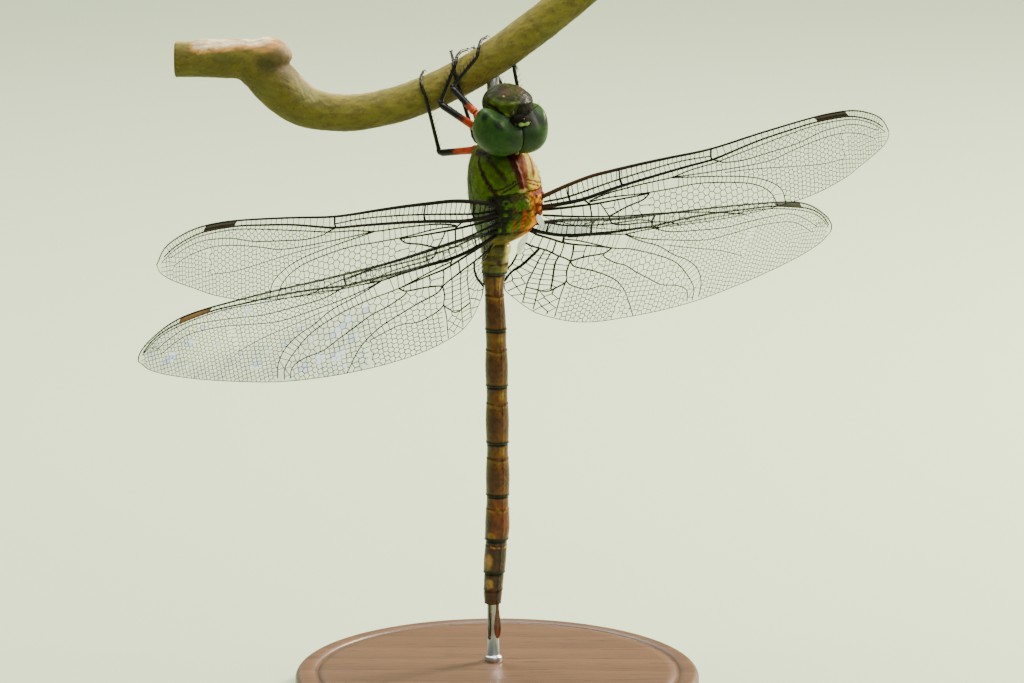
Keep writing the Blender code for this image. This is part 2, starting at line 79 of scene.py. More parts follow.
class Side(Enum):
    """The insect's two sides, each with the sign of its x in the body's own frame."""

    LEFT = -1
    RIGHT = 1

    @property
    def word(self) -> str:
        """The side's name as the nodes spell it."""
        return self.name.lower()


# ---- curves and numbers


def catmull(points: Sequence[Sequence[float]], steps: int = 6) -> Array:
    """Draw a smooth curve through points.

    Args:
        points: The places, each with any count of numbers.
        steps: Steps between two neighbouring points.

    Returns:
        The curve's points, one a row.
    """
    known = np.asarray(points, float)
    if len(known) < 3:
        shares = np.linspace(0, 1, steps + 1)[:, None]
        return known[0] + (known[-1] - known[0]) * shares
    padded = np.vstack([2 * known[0] - known[1], known, 2 * known[-1] - known[-2]])
    share = np.linspace(0, 1, steps, endpoint=False)[:, None]
    runs = []
    for p0, p1, p2, p3 in zip(padded, padded[1:], padded[2:], padded[3:]):
        runs.append(0.5 * (2 * p1 + (p2 - p0) * share + (2 * p0 - 5 * p1 + 4 * p2 - p3) * share**2
                           + (3 * p1 - p0 - 3 * p2 + p3) * share**3))
    return np.vstack(runs + [known[-1:]])


def spaced(points: Array, count: int) -> Array:
    """Space points evenly along a curve.

    Args:
        points: The curve's points.
        count: How many points to give back.

    Returns:
        The evenly spaced points.
    """
    gaps = np.linalg.norm(np.diff(points[:, :3], axis=0), axis=1)
    along = np.concatenate([[0], np.cumsum(gaps)])
    places = np.linspace(0, along[-1], count)
    return np.stack([np.interp(places, along, points[:, k]) for k in range(points.shape[1])], 1)


def read(table: Sequence[Pair], key: Union[float, Array]) -> Array:
    """Read a table of (key, value) pairs between its rows, whichever way its keys run."""
    rows = sorted(table)
    return np.interp(key, [row[0] for row in rows], [row[1] for row in rows])


def ease(low: float, high: float, value: Array) -> Array:
    """Rise from 0 at low to 1 at high with soft ends."""
    share = np.clip((value - low) / (high - low), 0, 1)
    return share * share * (3 - 2 * share)


def hill(value: Array, centre: float, width: float) -> Array:
    """A bell of height 1 at centre, worn to nothing about two widths away."""
    return np.exp(-(((value - centre) / width) ** 2))


def ripple(x: Array, y: Array, seed: float = 0) -> Array:
    """Smooth, slightly irregular waves between about -1 and 1."""
    first = np.sin(1.7 * x + 2.1 * np.sin(1.1 * y + seed) + seed)
    second = np.sin(2.3 * y + 1.6 * np.sin(1.9 * x - seed) + 2 * seed)
    return 0.5 * (first + second)


def blend(first: Array, second: Union[Array, Colour], share: Array) -> Array:
    """Mix rows: all first where share is 0 and all second where it is 1."""
    share = np.clip(share, 0, 1)[:, None]
    return first * (1 - share) + np.asarray(second, float) * share


def plain(colour: Sequence[float], rows: Sequence) -> Array:
    """The same colour for every row."""
    return np.tile(np.asarray(colour, float), (len(rows), 1))


def unit_of(way: Array) -> Array:
    """The unit vector of a direction."""
    return way / np.linalg.norm(way)


def bearing(unit: Array) -> Array:
    """Degrees round the upright axis, from the back's middle."""
    return np.degrees(np.arctan2(unit[:, 0], -unit[:, 1]))


def rise_of(unit: Array) -> Array:
    """Degrees above the level."""
    return np.degrees(np.arcsin(np.clip(unit[:, 2], -1, 1)))


@dataclass(frozen=True)
class Place:
    """A part's own frame: where its centre is, in millimetres, and how it is turned, in degrees."""

    centre: Triple
    turn: Triple

    def world(self, points: Array) -> Array:
        """Carry points of the part's own frame to the model's frame."""
        matrix = np.array(Euler([radians(a) for a in self.turn], "XYZ").to_matrix())
        return np.asarray(self.centre) + np.asarray(points, float) @ matrix.T


BODY_YAW = 28.4
THORAX = Place((1, -5.4, 65.3), (0, -3.5, BODY_YAW))
HEAD = Place((1.35, -6.9, 74.15), (22, 0, 31))


# ---- shader maths


def operator(operation: str, swapped: bool = False) -> Callable[["Wire", "Operand"], "Wire"]:
    """Make the method that adds one kind of Math node.

    Args:
        operation: The node's operation.
        swapped: Whether the other operand comes first.

    Returns:
        The method.
    """
    def method(self: "Wire", other: "Operand") -> "Wire":
        """Add the node and give its result."""
        first, second = (other, self) if swapped else (self, other)
        return self.recipe.wire("ShaderNodeMath", {"operation": operation}, {0: first, 1: second})

    return method


class Wire:
    """A socket's value that Python's arithmetic adds Math nodes to."""

    def __init__(self, recipe: "Recipe", socket: bpy.types.NodeSocket) -> None:
        """Keep the socket and the recipe that it belongs to."""
        self.recipe = recipe
        self.socket = socket

    __add__ = __radd__ = operator("ADD")
    __sub__ = operator("SUBTRACT")
    __rsub__ = operator("SUBTRACT", True)
    __mul__ = __rmul__ = operator("MULTIPLY")


Operand = Union[Wire, float]


class Recipe:
    """One node material in the making."""

    def __init__(self, name: str) -> None:
        """Start an empty material with that name."""
        self.material = bpy.data.materials.new(name)
        self.material.use_nodes = True
        self.tree = self.material.node_tree
        self.tree.nodes.clear()
        self.output = self.node("ShaderNodeOutputMaterial")

    def node(self, kind: str, settings: dict | None = None, inputs: dict | None = None) -> bpy.types.Node:
        """Add any node.

        Args:
            kind: The node's type.
            settings: Its settings, set first; "stops" fills a ramp with (place, colour) pairs.
            inputs: Its sockets' values or links, by name or number.

        Returns:
            The new node.
        """
        made = self.tree.nodes.new(kind)
        for key, value in (settings or {}).items():
            if key == "stops":
                for spare in range(len(value) - 2):
                    made.color_ramp.elements.new((spare + 1) / len(value))
                for element, (place, colour) in zip(made.color_ramp.elements, value):
                    element.position = place
                    element.color = (*colour, 1)
            else:
                setattr(made, key, value)
        for key, value in (inputs or {}).items():
            if isinstance(value, Wire):
                self.tree.links.new(value.socket, made.inputs[key])
            else:
                made.inputs[key].default_value = value
        return made

    def wire(self, kind: str, settings: dict | None = None, inputs: dict | None = None,
             result: Union[int, str] = 0) -> Wire:
        """Add any node and give one of its results."""
        return Wire(self, self.node(kind, settings, inputs).outputs[result])

    def where(self) -> Wire:
        """Object coordinates."""
        return self.wire("ShaderNodeTexCoord", None, None, "Object")

    def noise(self, size: float, detail: float = 3, stretch: Triple = (1, 1, 1),
              ) -> Wire:
        """Cloudy noise on Object coordinates.

        Args:
            size: The clouds' size in millimetres.
            detail: How many finer layers it has.
            stretch: How many times longer the clouds are along each axis.

        Returns:
            The noise, from 0 to 1.
        """
        scale = tuple(1 / (METRES * size * part) for part in stretch)
        place = self.wire("ShaderNodeMapping", None, {"Vector": self.where(), "Scale": scale})
        return self.wire("ShaderNodeTexNoise", None,
                         {"Vector": place, "Scale": 1, "Detail": detail, "Roughness": 0.55})

    def cells(self, size: float) -> Wire:
        """Voronoi cells of that size in millimetres, as the distance inside each."""
        return self.wire("ShaderNodeTexVoronoi", {"feature": "F1"},
                         {"Vector": self.where(), "Scale": 1 / (METRES * size)})

    def painted(self, part: str = "Color") -> Wire:
        """The colours painted on the mesh, or with "Alpha" the fourth number beside them."""
        return self.wire("ShaderNodeAttribute", {"attribute_name": MARKINGS}, None, part)

    def span(self, value: Wire, low: float, high: float, start: float = 0, stop: float = 1) -> Wire:
        """Map low..high softly to start..stop."""
        return self.wire("ShaderNodeMapRange", {"interpolation_type": "SMOOTHSTEP"},
                         {"Value": value, "From Min": low, "From Max": high,
                          "To Min": start, "To Max": stop})

    def mix(self, share: Operand, first: Union[Wire, Colour], second: Union[Wire, Colour],
            way: str = "MIX") -> Wire:
        """Mix two colours."""
        ends = [end if isinstance(end, Wire) else (*end, 1) for end in (first, second)]
        return self.wire("ShaderNodeMix", {"data_type": "RGBA", "blend_type": way},
                         {0: share, 6: ends[0], 7: ends[1]}, 2)

    def stain(self, tint: Wire, mask: Wire, low: float, high: float, share: float, colour: Colour) -> Wire:
        """Lay a colour over a tint as the mask rises from low to high, up to that share."""
        return self.mix(self.span(mask, low, high, 0, share), tint, colour)

    def grey(self, value: Wire) -> Wire:
        """A colour whose three parts are that value."""
        return self.wire("ShaderNodeCombineColor", None, {0: value, 1: value, 2: value})

    def bump(self, height: Wire, depth: float) -> Wire:
        """A normal bent by a height of that many millimetres."""
        return self.wire("ShaderNodeBump", None, {"Height": height, "Distance": depth * METRES,
            "Strength": 1})

    def close(self, **inputs: Union[Wire, float, tuple]) -> Material:
        """Give the material its shader.

        Args:
            inputs: The shader's sockets, with _ for a space.

        Returns:
            The finished material.
        """
        values = {key.replace("_", " "): value for key, value in inputs.items()}
        for key, value in values.items():
            if isinstance(value, tuple) and len(value) == 3:
                values[key] = (*value, 1)
        shader = self.node("ShaderNodeBsdfPrincipled", None, values)
        self.tree.links.new(shader.outputs[0], self.output.inputs["Surface"])
        return self.material


# ---- finishes


@dataclass(frozen=True)
class Cuticle:
    """Insect shell: painted markings under fine pits and a waxy gloss."""

    name: str
    roughness: float = 0.36
    coat: float = 0.35
    pit: float = 0.13
    depth: float = 0.012
    mottle: float = 0.3
    shine: float = 0.18

    def make(self) -> Material:
        """Mix the finish."""
        recipe = Recipe(self.name)
        cloud = recipe.noise(0.9, 4)
        fine = recipe.noise(self.pit, 2)
        shade = recipe.span(cloud, 0.3, 0.7, 1 - self.mottle, 1 + self.mottle)
        tint = recipe.mix(1, recipe.painted(), recipe.grey(shade), "MULTIPLY")
        tint = recipe.stain(tint, fine, 0.55, 0.8, 0.35, (0.01, 0.008, 0.004))
        rough = self.roughness + 0.3 * (cloud - 0.5)
        return recipe.close(Base_Color=tint, Roughness=rough, Coat_Weight=self.coat, Coat_Roughness=0.12,
            Specular_IOR_Level=self.shine, Normal=recipe.bump(fine, self.depth))


@dataclass(frozen=True)
class EyeGlass:
    """A compound eye: painted bands deep under a clear, finely faceted gloss."""

    name: str = "compound_eye"
    facet: float = 0.045

    def make(self) -> Material:
        """Mix the finish."""
        recipe = Recipe(self.name)
        facet = recipe.cells(self.facet)
        cloud = recipe.noise(0.8, 3)
        tint = recipe.stain(recipe.painted(), cloud, 0.35, 0.75, 0.5, (0.006, 0.02, 0.008))
        tint = recipe.stain(tint, facet, 0.35, 0.75, 0.45, (0.002, 0.006, 0.002))
        return recipe.close(Base_Color=tint, Roughness=0.45 + 0.1 * cloud, Coat_Weight=0.05,
                            Coat_Roughness=0.2, Specular_IOR_Level=0.12,
                            Normal=recipe.bump(facet, 0.003))


@dataclass(frozen=True)
class VeinLacquer:
    """Wing veins: painted tones with a dry gloss."""

    name: str = "wing_vein"

    def make(self) -> Material:
        """Mix the finish."""
        recipe = Recipe(self.name)
        grain = recipe.noise(0.25, 3)
        tint = recipe.stain(recipe.painted(), grain, 0.35, 0.75, 0.5, (0.006, 0.004, 0.003))
        return recipe.close(Base_Color=tint, Roughness=0.55 + 0.25 * grain, Specular_IOR_Level=0.08,
                            Normal=recipe.bump(grain, 0.006))


@dataclass(frozen=True)
class WingFilm:
    """The clear film between the veins: a faint smoky tint, fine wrinkles and an oily sheen."""

    name: str
    alpha: float = 0.16

    def make(self) -> Material:
        """Mix the finish."""
        recipe = Recipe(self.name)
        crinkle = recipe.noise(0.55, 4)
        drift = recipe.noise(4, 2)
        tint = recipe.stain(recipe.painted(), drift, 0.35, 0.65, 0.4, (0.42, 0.5, 0.62))
        alpha = recipe.painted("Alpha") * recipe.span(crinkle, 0.3, 0.75, 0.75, 1.3)
        return recipe.close(Base_Color=tint, Roughness=0.12 + 0.2 * crinkle, Alpha=alpha,
                            IOR=1.56, Coat_Weight=0.5, Coat_Roughness=0.08,
                            Thin_Film_Thickness=320, Thin_Film_IOR=1.4,
                            Normal=recipe.bump(crinkle, 0.05))


@dataclass(frozen=True)
class Frost:
    """Painted glints: a bluish-white colour that also glows, standing for the sky's reflection in single
    cells.
    """

    name: str = "frosted_cell"
    glow: float = 0.75

    def make(self) -> Material:
        """Mix the finish."""
        recipe = Recipe(self.name)
        speck = recipe.noise(0.16, 3)
        tint = recipe.stain(recipe.painted(), speck, 0.35, 0.7, 0.7, (0.5, 0.62, 0.8))
        return recipe.close(Base_Color=tint, Roughness=0.45 + 0.2 * speck, Emission_Color=tint,
                            Emission_Strength=self.glow, Normal=recipe.bump(speck, 0.02))


@dataclass(frozen=True)
class Bristle:
    """Hair and spines: one tone with a slight streak along it."""

    name: str
    colour: Colour
    tip: Colour
    roughness: float = 0.45

    def make(self) -> Material:
        """Mix the finish."""
        recipe = Recipe(self.name)
        streak = recipe.noise(0.2, 2)
        tint = recipe.mix(recipe.span(streak, 0.3, 0.7), self.colour, self.tip)
        return recipe.close(Base_Color=tint, Roughness=self.roughness + 0.2 * streak)


@dataclass(frozen=True)
class Bark:
    """Green-brown bark, painted tones with fine cracks, pores and a dusty bloom."""

    name: str = "twig_bark"

    def make(self) -> Material:
        """Mix the finish."""
        recipe = Recipe(self.name)
        streak = recipe.noise(0.5, 5, (3, 1, 1.6))
        speck = recipe.noise(0.28, 3)
        cloud = recipe.noise(3.2, 4)
        tint = recipe.painted()
        for mask, low, high, share, colour in ((streak, 0.35, 0.7, 0.6, (0.075, 0.052, 0.018)),
                (cloud, 0.45, 0.75, 0.45, (0.2, 0.17, 0.035)), (speck, 0.62, 0.74, 0.5, (0.3, 0.24, 0.09)),
                (speck, 0.36, 0.28, 0.7, (0.022, 0.014, 0.006))):
            tint = recipe.stain(tint, mask, low, high, share, colour)
        height = streak * 0.7 + speck * 0.3
        return recipe.close(Base_Color=tint, Roughness=0.55 + 0.25 * cloud,
                            Specular_IOR_Level=0.15, Normal=recipe.bump(height, 0.12))


@dataclass(frozen=True)
class TurnedWood:
    """Oiled walnut, turned on the lathe: long grain, pores and soft figure."""

    name: str = "stand_walnut"

    def make(self) -> Material:
        """Mix the finish."""
        recipe = Recipe(self.name)
        figure = recipe.noise(7, 3, (6, 0.8, 1))
        rings = recipe.wire("ShaderNodeTexWave", {"bands_direction": "Y", "wave_profile": "SAW"},
                            {"Vector": recipe.where(), "Scale": 60, "Distortion": 1.6, "Detail": 2,
                             "Detail Scale": 1.2}, 1)
        pores = recipe.noise(0.35, 3, (14, 0.8, 1))
        tint = recipe.wire("ShaderNodeValToRGB",
                           {"stops": [(0, (0.075, 0.031, 0.013)), (0.5, (0.12, 0.052, 0.021)),
                                      (1, (0.17, 0.078, 0.033))]},
                           {"Fac": 0.35 * rings + 0.65 * figure})
        tint = recipe.stain(tint, pores, 0.56, 0.7, 0.75, (0.02, 0.008, 0.003))
        return recipe.close(Base_Color=tint, Roughness=0.42 + 0.15 * pores, Coat_Weight=0.25,
                            Coat_Roughness=0.3, Normal=recipe.bump(pores, 0.05))


@dataclass(frozen=True)
class BrushedSteel:
    """Thin drawn steel rod with fine draw lines."""

    name: str = "stand_steel"

    def make(self) -> Material:
        """Mix the finish."""
        recipe = Recipe(self.name)
        lines = recipe.noise(0.12, 3, (1, 1, 60))
        smudge = recipe.noise(4, 3)
        tint = recipe.mix(recipe.span(smudge, 0.3, 0.7, 0, 0.6), (0.52, 0.52, 0.53),
                          (0.36, 0.37, 0.39))
        return recipe.close(Base_Color=tint, Metallic=1, Roughness=0.22 + 0.2 * lines,
                            Normal=recipe.bump(lines, 0.01))


@dataclass(frozen=True)
class StudioCard:
    """The pale floor and wall, with the slightest tooth."""

    name: str = "studio_card"
    colour: Colour = (0.52, 0.62, 0.4)

    def make(self) -> Material:
        """Mix the finish."""
        recipe = Recipe(self.name)
        tooth = recipe.noise(1.5, 3)
        tint = recipe.mix(tooth * 0.06, self.colour, (0.42, 0.5, 0.34))
        return recipe.close(Base_Color=tint, Roughness=0.85)


Finish = Union[Cuticle, EyeGlass, VeinLacquer, WingFilm, Frost, Bristle, Bark, TurnedWood, BrushedSteel,
               StudioCard]


class Shelf:
    """The finishes already mixed, one material for each."""

    mixed: dict[str, Material] = {}

    @classmethod
    def take(cls, finish: Finish) -> Material:
        """Give a finish's material, mixing it the first time."""
        if finish.name not in cls.mixed:
            cls.mixed[finish.name] = finish.make()
        return cls.mixed[finish.name]


# ---- shapes


class Paint:
    """Colours laid on a surface by two coordinates: degrees round it and millimetres along it."""

    def __init__(self, around: Array, along: Array, base: Colour, scale: float) -> None:
        """Lay the ground colour; scale is millimetres for each degree round."""
        self.around = around
        self.along = along
        self.scale = scale
        self.colour = plain(base, around)

    def lay(self, share: Array, colour: Colour) -> None:
        """Lay a colour as thickly as share says, from 0 to 1."""
        self.colour = blend(self.colour, colour, share)

    def waver(self, size: float = 0.08) -> Array:
        """A small uneven shift, in millimetres, that keeps the marks' edges natural."""
        return size * ripple(self.around * self.scale * 4, self.along * 4, 0.7)

    def away(self, points: Sequence[Pair]) -> Array:
        """How far each vertex is from a line through (degrees round, millimetres along) points."""
        x, y = self.around * self.scale, self.along
        best = np.full(len(x), 1e9)
        for (a0, b0), (a1, b1) in zip(points, points[1:]):
            start = np.array([a0 * self.scale, b0])
            step = np.array([a1 * self.scale, b1]) - start
            share = ((x - start[0]) * step[0] + (y - start[1]) * step[1]) / (step @ step + 1e-9)
            share = np.clip(share, 0, 1)
            best = np.minimum(best, np.hypot(x - start[0] - share * step[0], y - start[1] - share * step[1]))
        return best

    def line(self, points: Sequence[Pair], width: float, colour: Colour, edge: float = 0.12,
             strength: float = 1) -> None:
        """Draw a line.

        Args:
            points: Its corners, as (degrees round, millimetres along).
            width: Its width in millimetres.
            colour: Its colour.
            edge: How far its edge fades, in millimetres.
            strength: How thickly it is laid.
        """
        reach = self.away(points) + self.waver() - width / 2
        self.lay(strength * (1 - ease(-edge / 2, edge / 2, reach)), colour)

    def spot(self, centre: Pair, radii: Pair, colour: Colour, edge: float = 0.25,
             strength: float = 1) -> None:
        """Lay an oval spot; centre and radii are (degrees round, millimetres along)."""
        away = np.hypot((self.around - centre[0]) / radii[0], (self.along - centre[1]) / radii[1])
        away = away + self.waver() * 1.5
        self.lay(strength * (1 - ease(1 - edge, 1 + edge, away)), colour)

    def band(self, low: float, high: float, colour: Colour, left: float = -400,
             right: float = 400, edge: float = 0.15, strength: float = 1) -> None:
        """Lay a band from low to high along the body, between two angles round it."""
        along = self.along + self.waver()
        turn = self.around * self.scale
        share = ease(low - edge / 2, low + edge / 2, along)
        share = share * (1 - ease(high - edge / 2, high + edge / 2, along))
        share = share * ease(left * self.scale - edge, left * self.scale + edge, turn)
        share = share * (1 - ease(right * self.scale - edge, right * self.scale + edge, turn))
        self.lay(strength * share, colour)


class Form:
    """A mesh in the making, in millimetres."""

    def __init__(self) -> None:
        """Start with nothing."""
        self.bm = bmesh.new()

    @classmethod
    def lathe(cls, profile: Sequence[Pair], steps: int) -> "Form":
        """Spin a profile round the upright axis.

        Args:
            profile: Its points, as (radius, height).
            steps: How many facets go round.

        Returns:
            The closed form.
        """
        form = cls()
        verts = [form.bm.verts.new((radius, 0, height)) for radius, height in profile]
        edges = [form.bm.edges.new(pair) for pair in zip(verts, verts[1:])]
        bmesh.ops.spin(form.bm, geom=verts + edges, cent=(0, 0, 0), axis=(0, 0, 1), angle=tau,
                       steps=steps, use_merge=True)
        return form.seal()

    @classmethod
    def ball(cls, radii: Triple, centre: Triple = (0, 0, 0), sides: int = 32,
             rings: int = 20) -> "Form":
        """An ellipsoid."""
        form = cls()
        bmesh.ops.create_uvsphere(form.bm, u_segments=sides, v_segments=rings, radius=1)
        form.put(form.points() * np.asarray(radii) + np.asarray(centre))
        return form

    @classmethod
    def sheet(cls, across: int, along: int) -> "Form":
        """A flat grid from 0 to 1 in x and y."""
        form = cls()
        bmesh.ops.create_grid(form.bm, x_segments=across, y_segments=along, size=0.5)
        form.put(form.points() + np.array([0.5, 0.5, 0]))
        return form

    @classmethod
    def tubes(cls, runs: Sequence[Array], rounding: int = 0) -> "Form":
        """Draw wires as tubes.

        Args:
            runs: Each wire's points, with x, y, z and radius in a row.
            rounding: The bevel's resolution: 0 gives four sides, 1 gives six.

        Returns:
            The closed tubes.
        """
        curve = bpy.data.curves.new("wires", "CURVE")
        curve.dimensions = "3D"
        curve.bevel_depth = 1
        curve.bevel_resolution = rounding
        curve.use_fill_caps = True
        for run in runs:
            spline = curve.splines.new("POLY")
            spline.points.add(len(run) - 1)
            flat = np.ones((len(run), 4))
            flat[:, :3] = run[:, :3]
            spline.points.foreach_set("co", flat.ravel())
            spline.points.foreach_set("radius", np.ascontiguousarray(run[:, 3]))
        holder = bpy.data.objects.new("wires", curve)
        bpy.context.scene.collection.objects.link(holder)
        graph = bpy.context.evaluated_depsgraph_get()
        mesh = bpy.data.meshes.new_from_object(holder.evaluated_get(graph))
        form = cls()
        form.bm.from_mesh(mesh)
        bpy.data.objects.remove(holder)
        bpy.data.curves.remove(curve)
        bpy.data.meshes.remove(mesh)
        bmesh.ops.remove_doubles(form.bm, verts=form.bm.verts, dist=1e-5)
        return form

    def seal(self) -> "Form":
        """Close the seams and poles and turn the faces outwards."""
        bmesh.ops.remove_doubles(self.bm, verts=self.bm.verts, dist=1e-5)
        bmesh.ops.recalc_face_normals(self.bm, faces=self.bm.faces)
        return self

    def points(self) -> Array:
        """The vertices' places, one a row."""
        return np.array([vert.co for vert in self.bm.verts], float).reshape(-1, 3)

    def put(self, points: Array) -> "Form":
        """Move the vertices to these places."""
        for vert, point in zip(self.bm.verts, points):
            vert.co = point
        return self

    def thicken(self, thickness: float) -> "Form":
        """Give an open sheet a wall."""
        bmesh.ops.recalc_face_normals(self.bm, faces=self.bm.faces)
        bmesh.ops.solidify(self.bm, geom=self.bm.faces[:], thickness=thickness)
        return self

    def settle(self, place: Callable[[Array], Array], wall: float = 0) -> Array:
        """Give the sheet a wall if one is asked for, and carry it to its place; its own points come back."""
        if wall:
            self.thicken(wall)
        local = self.points()
        self.put(place(local))
        bmesh.ops.recalc_face_normals(self.bm, faces=self.bm.faces)
        return local

    def join(self, other: "Form") -> "Form":
        """Take in another form's mesh."""
        mesh = bpy.data.meshes.new("joined")
        other.bm.to_mesh(mesh)
        self.bm.from_mesh(mesh)
        bpy.data.meshes.remove(mesh)
        return self

    def finish(self, name: str, finish: Finish, slot: Slot | None, nodes: Sequence[str] = (),
               colours: Array | None = None, smooth: bool = True) -> bpy.types.Object:
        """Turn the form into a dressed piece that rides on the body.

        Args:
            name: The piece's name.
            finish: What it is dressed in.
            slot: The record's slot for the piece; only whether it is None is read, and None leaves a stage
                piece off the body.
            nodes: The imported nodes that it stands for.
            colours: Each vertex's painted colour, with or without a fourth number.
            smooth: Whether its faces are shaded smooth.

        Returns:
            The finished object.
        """
        bmesh.ops.scale(self.bm, vec=(METRES,) * 3, verts=self.bm.verts)
        mesh = bpy.data.meshes.new(name)
        self.bm.to_mesh(mesh)
        self.bm.free()
        mesh.shade_smooth() if smooth else mesh.shade_flat()
        if colours is not None:
            layer = mesh.color_attributes.new(MARKINGS, "FLOAT_COLOR", "POINT")
            flat = np.ones((len(mesh.vertices), 4))
            flat[:, :colours.shape[1]] = colours
            layer.data.foreach_set("color", flat.ravel())
        mesh.materials.append(Shelf.take(finish))
        piece = bpy.data.objects.new(name, mesh)
        bpy.context.scene.collection.objects.link(piece)
        if slot is None:
            return piece
        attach(piece, ROOT_BODY)
        if nodes:
            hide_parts(*nodes)
        LOG.info("%s: %d faces", name, len(mesh.polygons))
        return piece


# ---- the studio


@dataclass
class Studio:
    """The floor that sweeps up into a wall, the lamps and the camera."""

    wall: float = 1700
    curve: float = 130
    half_width: float = 1300
    reach: float = 1500
    height: float = 1500
    lens: float = 250
    sensor: float = 36
    aim: Triple = (1.83, -4, 46.8)
    distance: float = 867
    elevation: float = 13.2

    def build(self) -> None:
        """Build the floor, the lamps, the soft surroundings and the camera."""
        self.floor()
        self.lamps()
        self.camera()

    def floor(self) -> None:
        """Bend one sheet into a floor and a wall."""
        form = Form.sheet(2, 80)
        x, y, _ = form.points().T
        bend = self.curve * pi / 2
        run = y * (self.wall + self.reach + bend + self.height) - self.reach
        turn = np.clip((run - self.wall) / self.curve, 0, pi / 2)
        height = self.curve * (1 - np.cos(turn)) + np.maximum(run - self.wall - bend, 0)
        depth = np.minimum(run, self.wall) + self.curve * np.sin(turn)
        form.put(np.stack([(x - 0.5) * 2 * self.half_width, depth, height], 1))
        form.finish("studio_sweep", StudioCard(), None)

    def lamp(self, name: str, place: Triple, aim: Triple, size: float, power: float,
             colour: Colour) -> None:
        """Hang one square soft lamp.

        Args:
            name: Its name.
            place: Where it hangs, in millimetres.
            aim: What it points at.
            size: Its side in millimetres.
            power: Its power in watts.
            colour: Its light's colour.
        """
        data = bpy.data.lights.new(name, "AREA")
        data.size = size * METRES
        data.energy = power
        data.color = colour
        lamp = bpy.data.objects.new(name, data)
        lamp.location = Vector(place) * METRES
        lamp.rotation_euler = (Vector(aim) - Vector(place)).to_track_quat("-Z", "Y").to_euler()
        bpy.context.scene.collection.objects.link(lamp)

    def lamps(self) -> None:
        """Hang the warm key at the insect's right, a soft fill, a rim lamp and a wall lamp."""
        middle = (1, -4, 60)
        self.lamp("key", (345, 215, 290), middle, 110, 6.5, (1, 0.92, 0.74))
        self.lamp("fill", (250, -430, 470), middle, 300, 1.25, (0.9, 0.96, 1))
        self.lamp("rim", (-160, 230, 330), middle, 160, 0.9, (1, 1, 0.95))
        self.lamp("wall_wash", (0, 60, 850), (0, 520, 150), 500, 12,
                  (1, 1, 0.96))
        world = bpy.data.worlds.new("studio_air")
        world.use_nodes = True
        world.node_tree.nodes["Background"].inputs[0].default_value = (0.85, 0.95, 0.78, 1)
        world.node_tree.nodes["Background"].inputs[1].default_value = 0.3
        bpy.context.scene.world = world

    def camera(self) -> None:
        """Set the long lens level with the dragonfly's back, a little above it."""
        data = bpy.data.cameras.new("camera")
        data.lens = self.lens
        data.sensor_width = self.sensor
        data.clip_end = 20
        camera = bpy.data.objects.new("camera", data)
        tilt = radians(self.elevation)
        back = Vector((0, -cos(tilt), sin(tilt)))
        camera.location = (Vector(self.aim) + back * self.distance) * METRES
        camera.rotation_euler = (-back).to_track_quat("-Z", "Y").to_euler()
        bpy.context.scene.collection.objects.link(camera)
        bpy.context.scene.camera = camera


# ---- the stand and the twig


@dataclass
class Stand:
    """A turned wooden disc and the thin steel rod that holds the twig."""

    radius: float = 25
    height: float = 4
    edge: float = 0.8
    groove: float = 2.6
    rod_radius: float = 0.75
    rod_x: float = -0.5
    rod_y: float = 4.5
    rod_foot: float = 1.5
    rod_top: float = 79.4

    def build(self) -> None:
        """Build the disc and the rod."""
        self.disc()
        self.rod()

    def disc(self) -> None:
        """Turn the disc: a flat foot, a rounded edge and a fine groove round the top."""
        rim = [(self.radius - self.edge * (1 - cos(a)), self.height - self.edge * (1 - sin(a)))
               for a in np.linspace(0, pi / 2, 7)]
        dip = [(self.radius - self.groove - 0.35 * cos(a), self.height - 0.22 * sin(a))
               for a in np.linspace(pi, 0, 7)]
        profile = [(0, 0), (self.radius - 0.3, 0), (self.radius, 0.3)] + rim + dip
        profile += [(r, self.height) for r in np.linspace(self.radius - 4, 0, 8)]
        form = Form.lathe(profile, 160)
        form.finish("stand_disc", TurnedWood(), Slot.WOOD, ["stand_base"])

    def rod(self) -> None:
        """Turn the rod, with a small collar where it enters the disc."""
        foot, rod = self.height, self.rod_radius
        collar = rod + 0.4
        profile = [(0, self.rod_foot), (rod, self.rod_foot), (rod, foot - 0.2), (collar, foot - 0.2),
            (collar, foot + 0.55), (collar - 0.15, foot + 0.7), (rod + 0.12, foot + 0.75), (rod, foot + 0.9)]
        profile += [(rod, z) for z in np.linspace(foot + 4, self.rod_top - 0.3, 12)]
        form = Form.lathe(profile + [(rod - 0.25, self.rod_top), (0, self.rod_top)], 32)
        form.put(form.points() + (self.rod_x, self.rod_y, 0))
        form.finish("stand_rod_steel", BrushedSteel(), Slot.STEEL, ["stand_rod"])


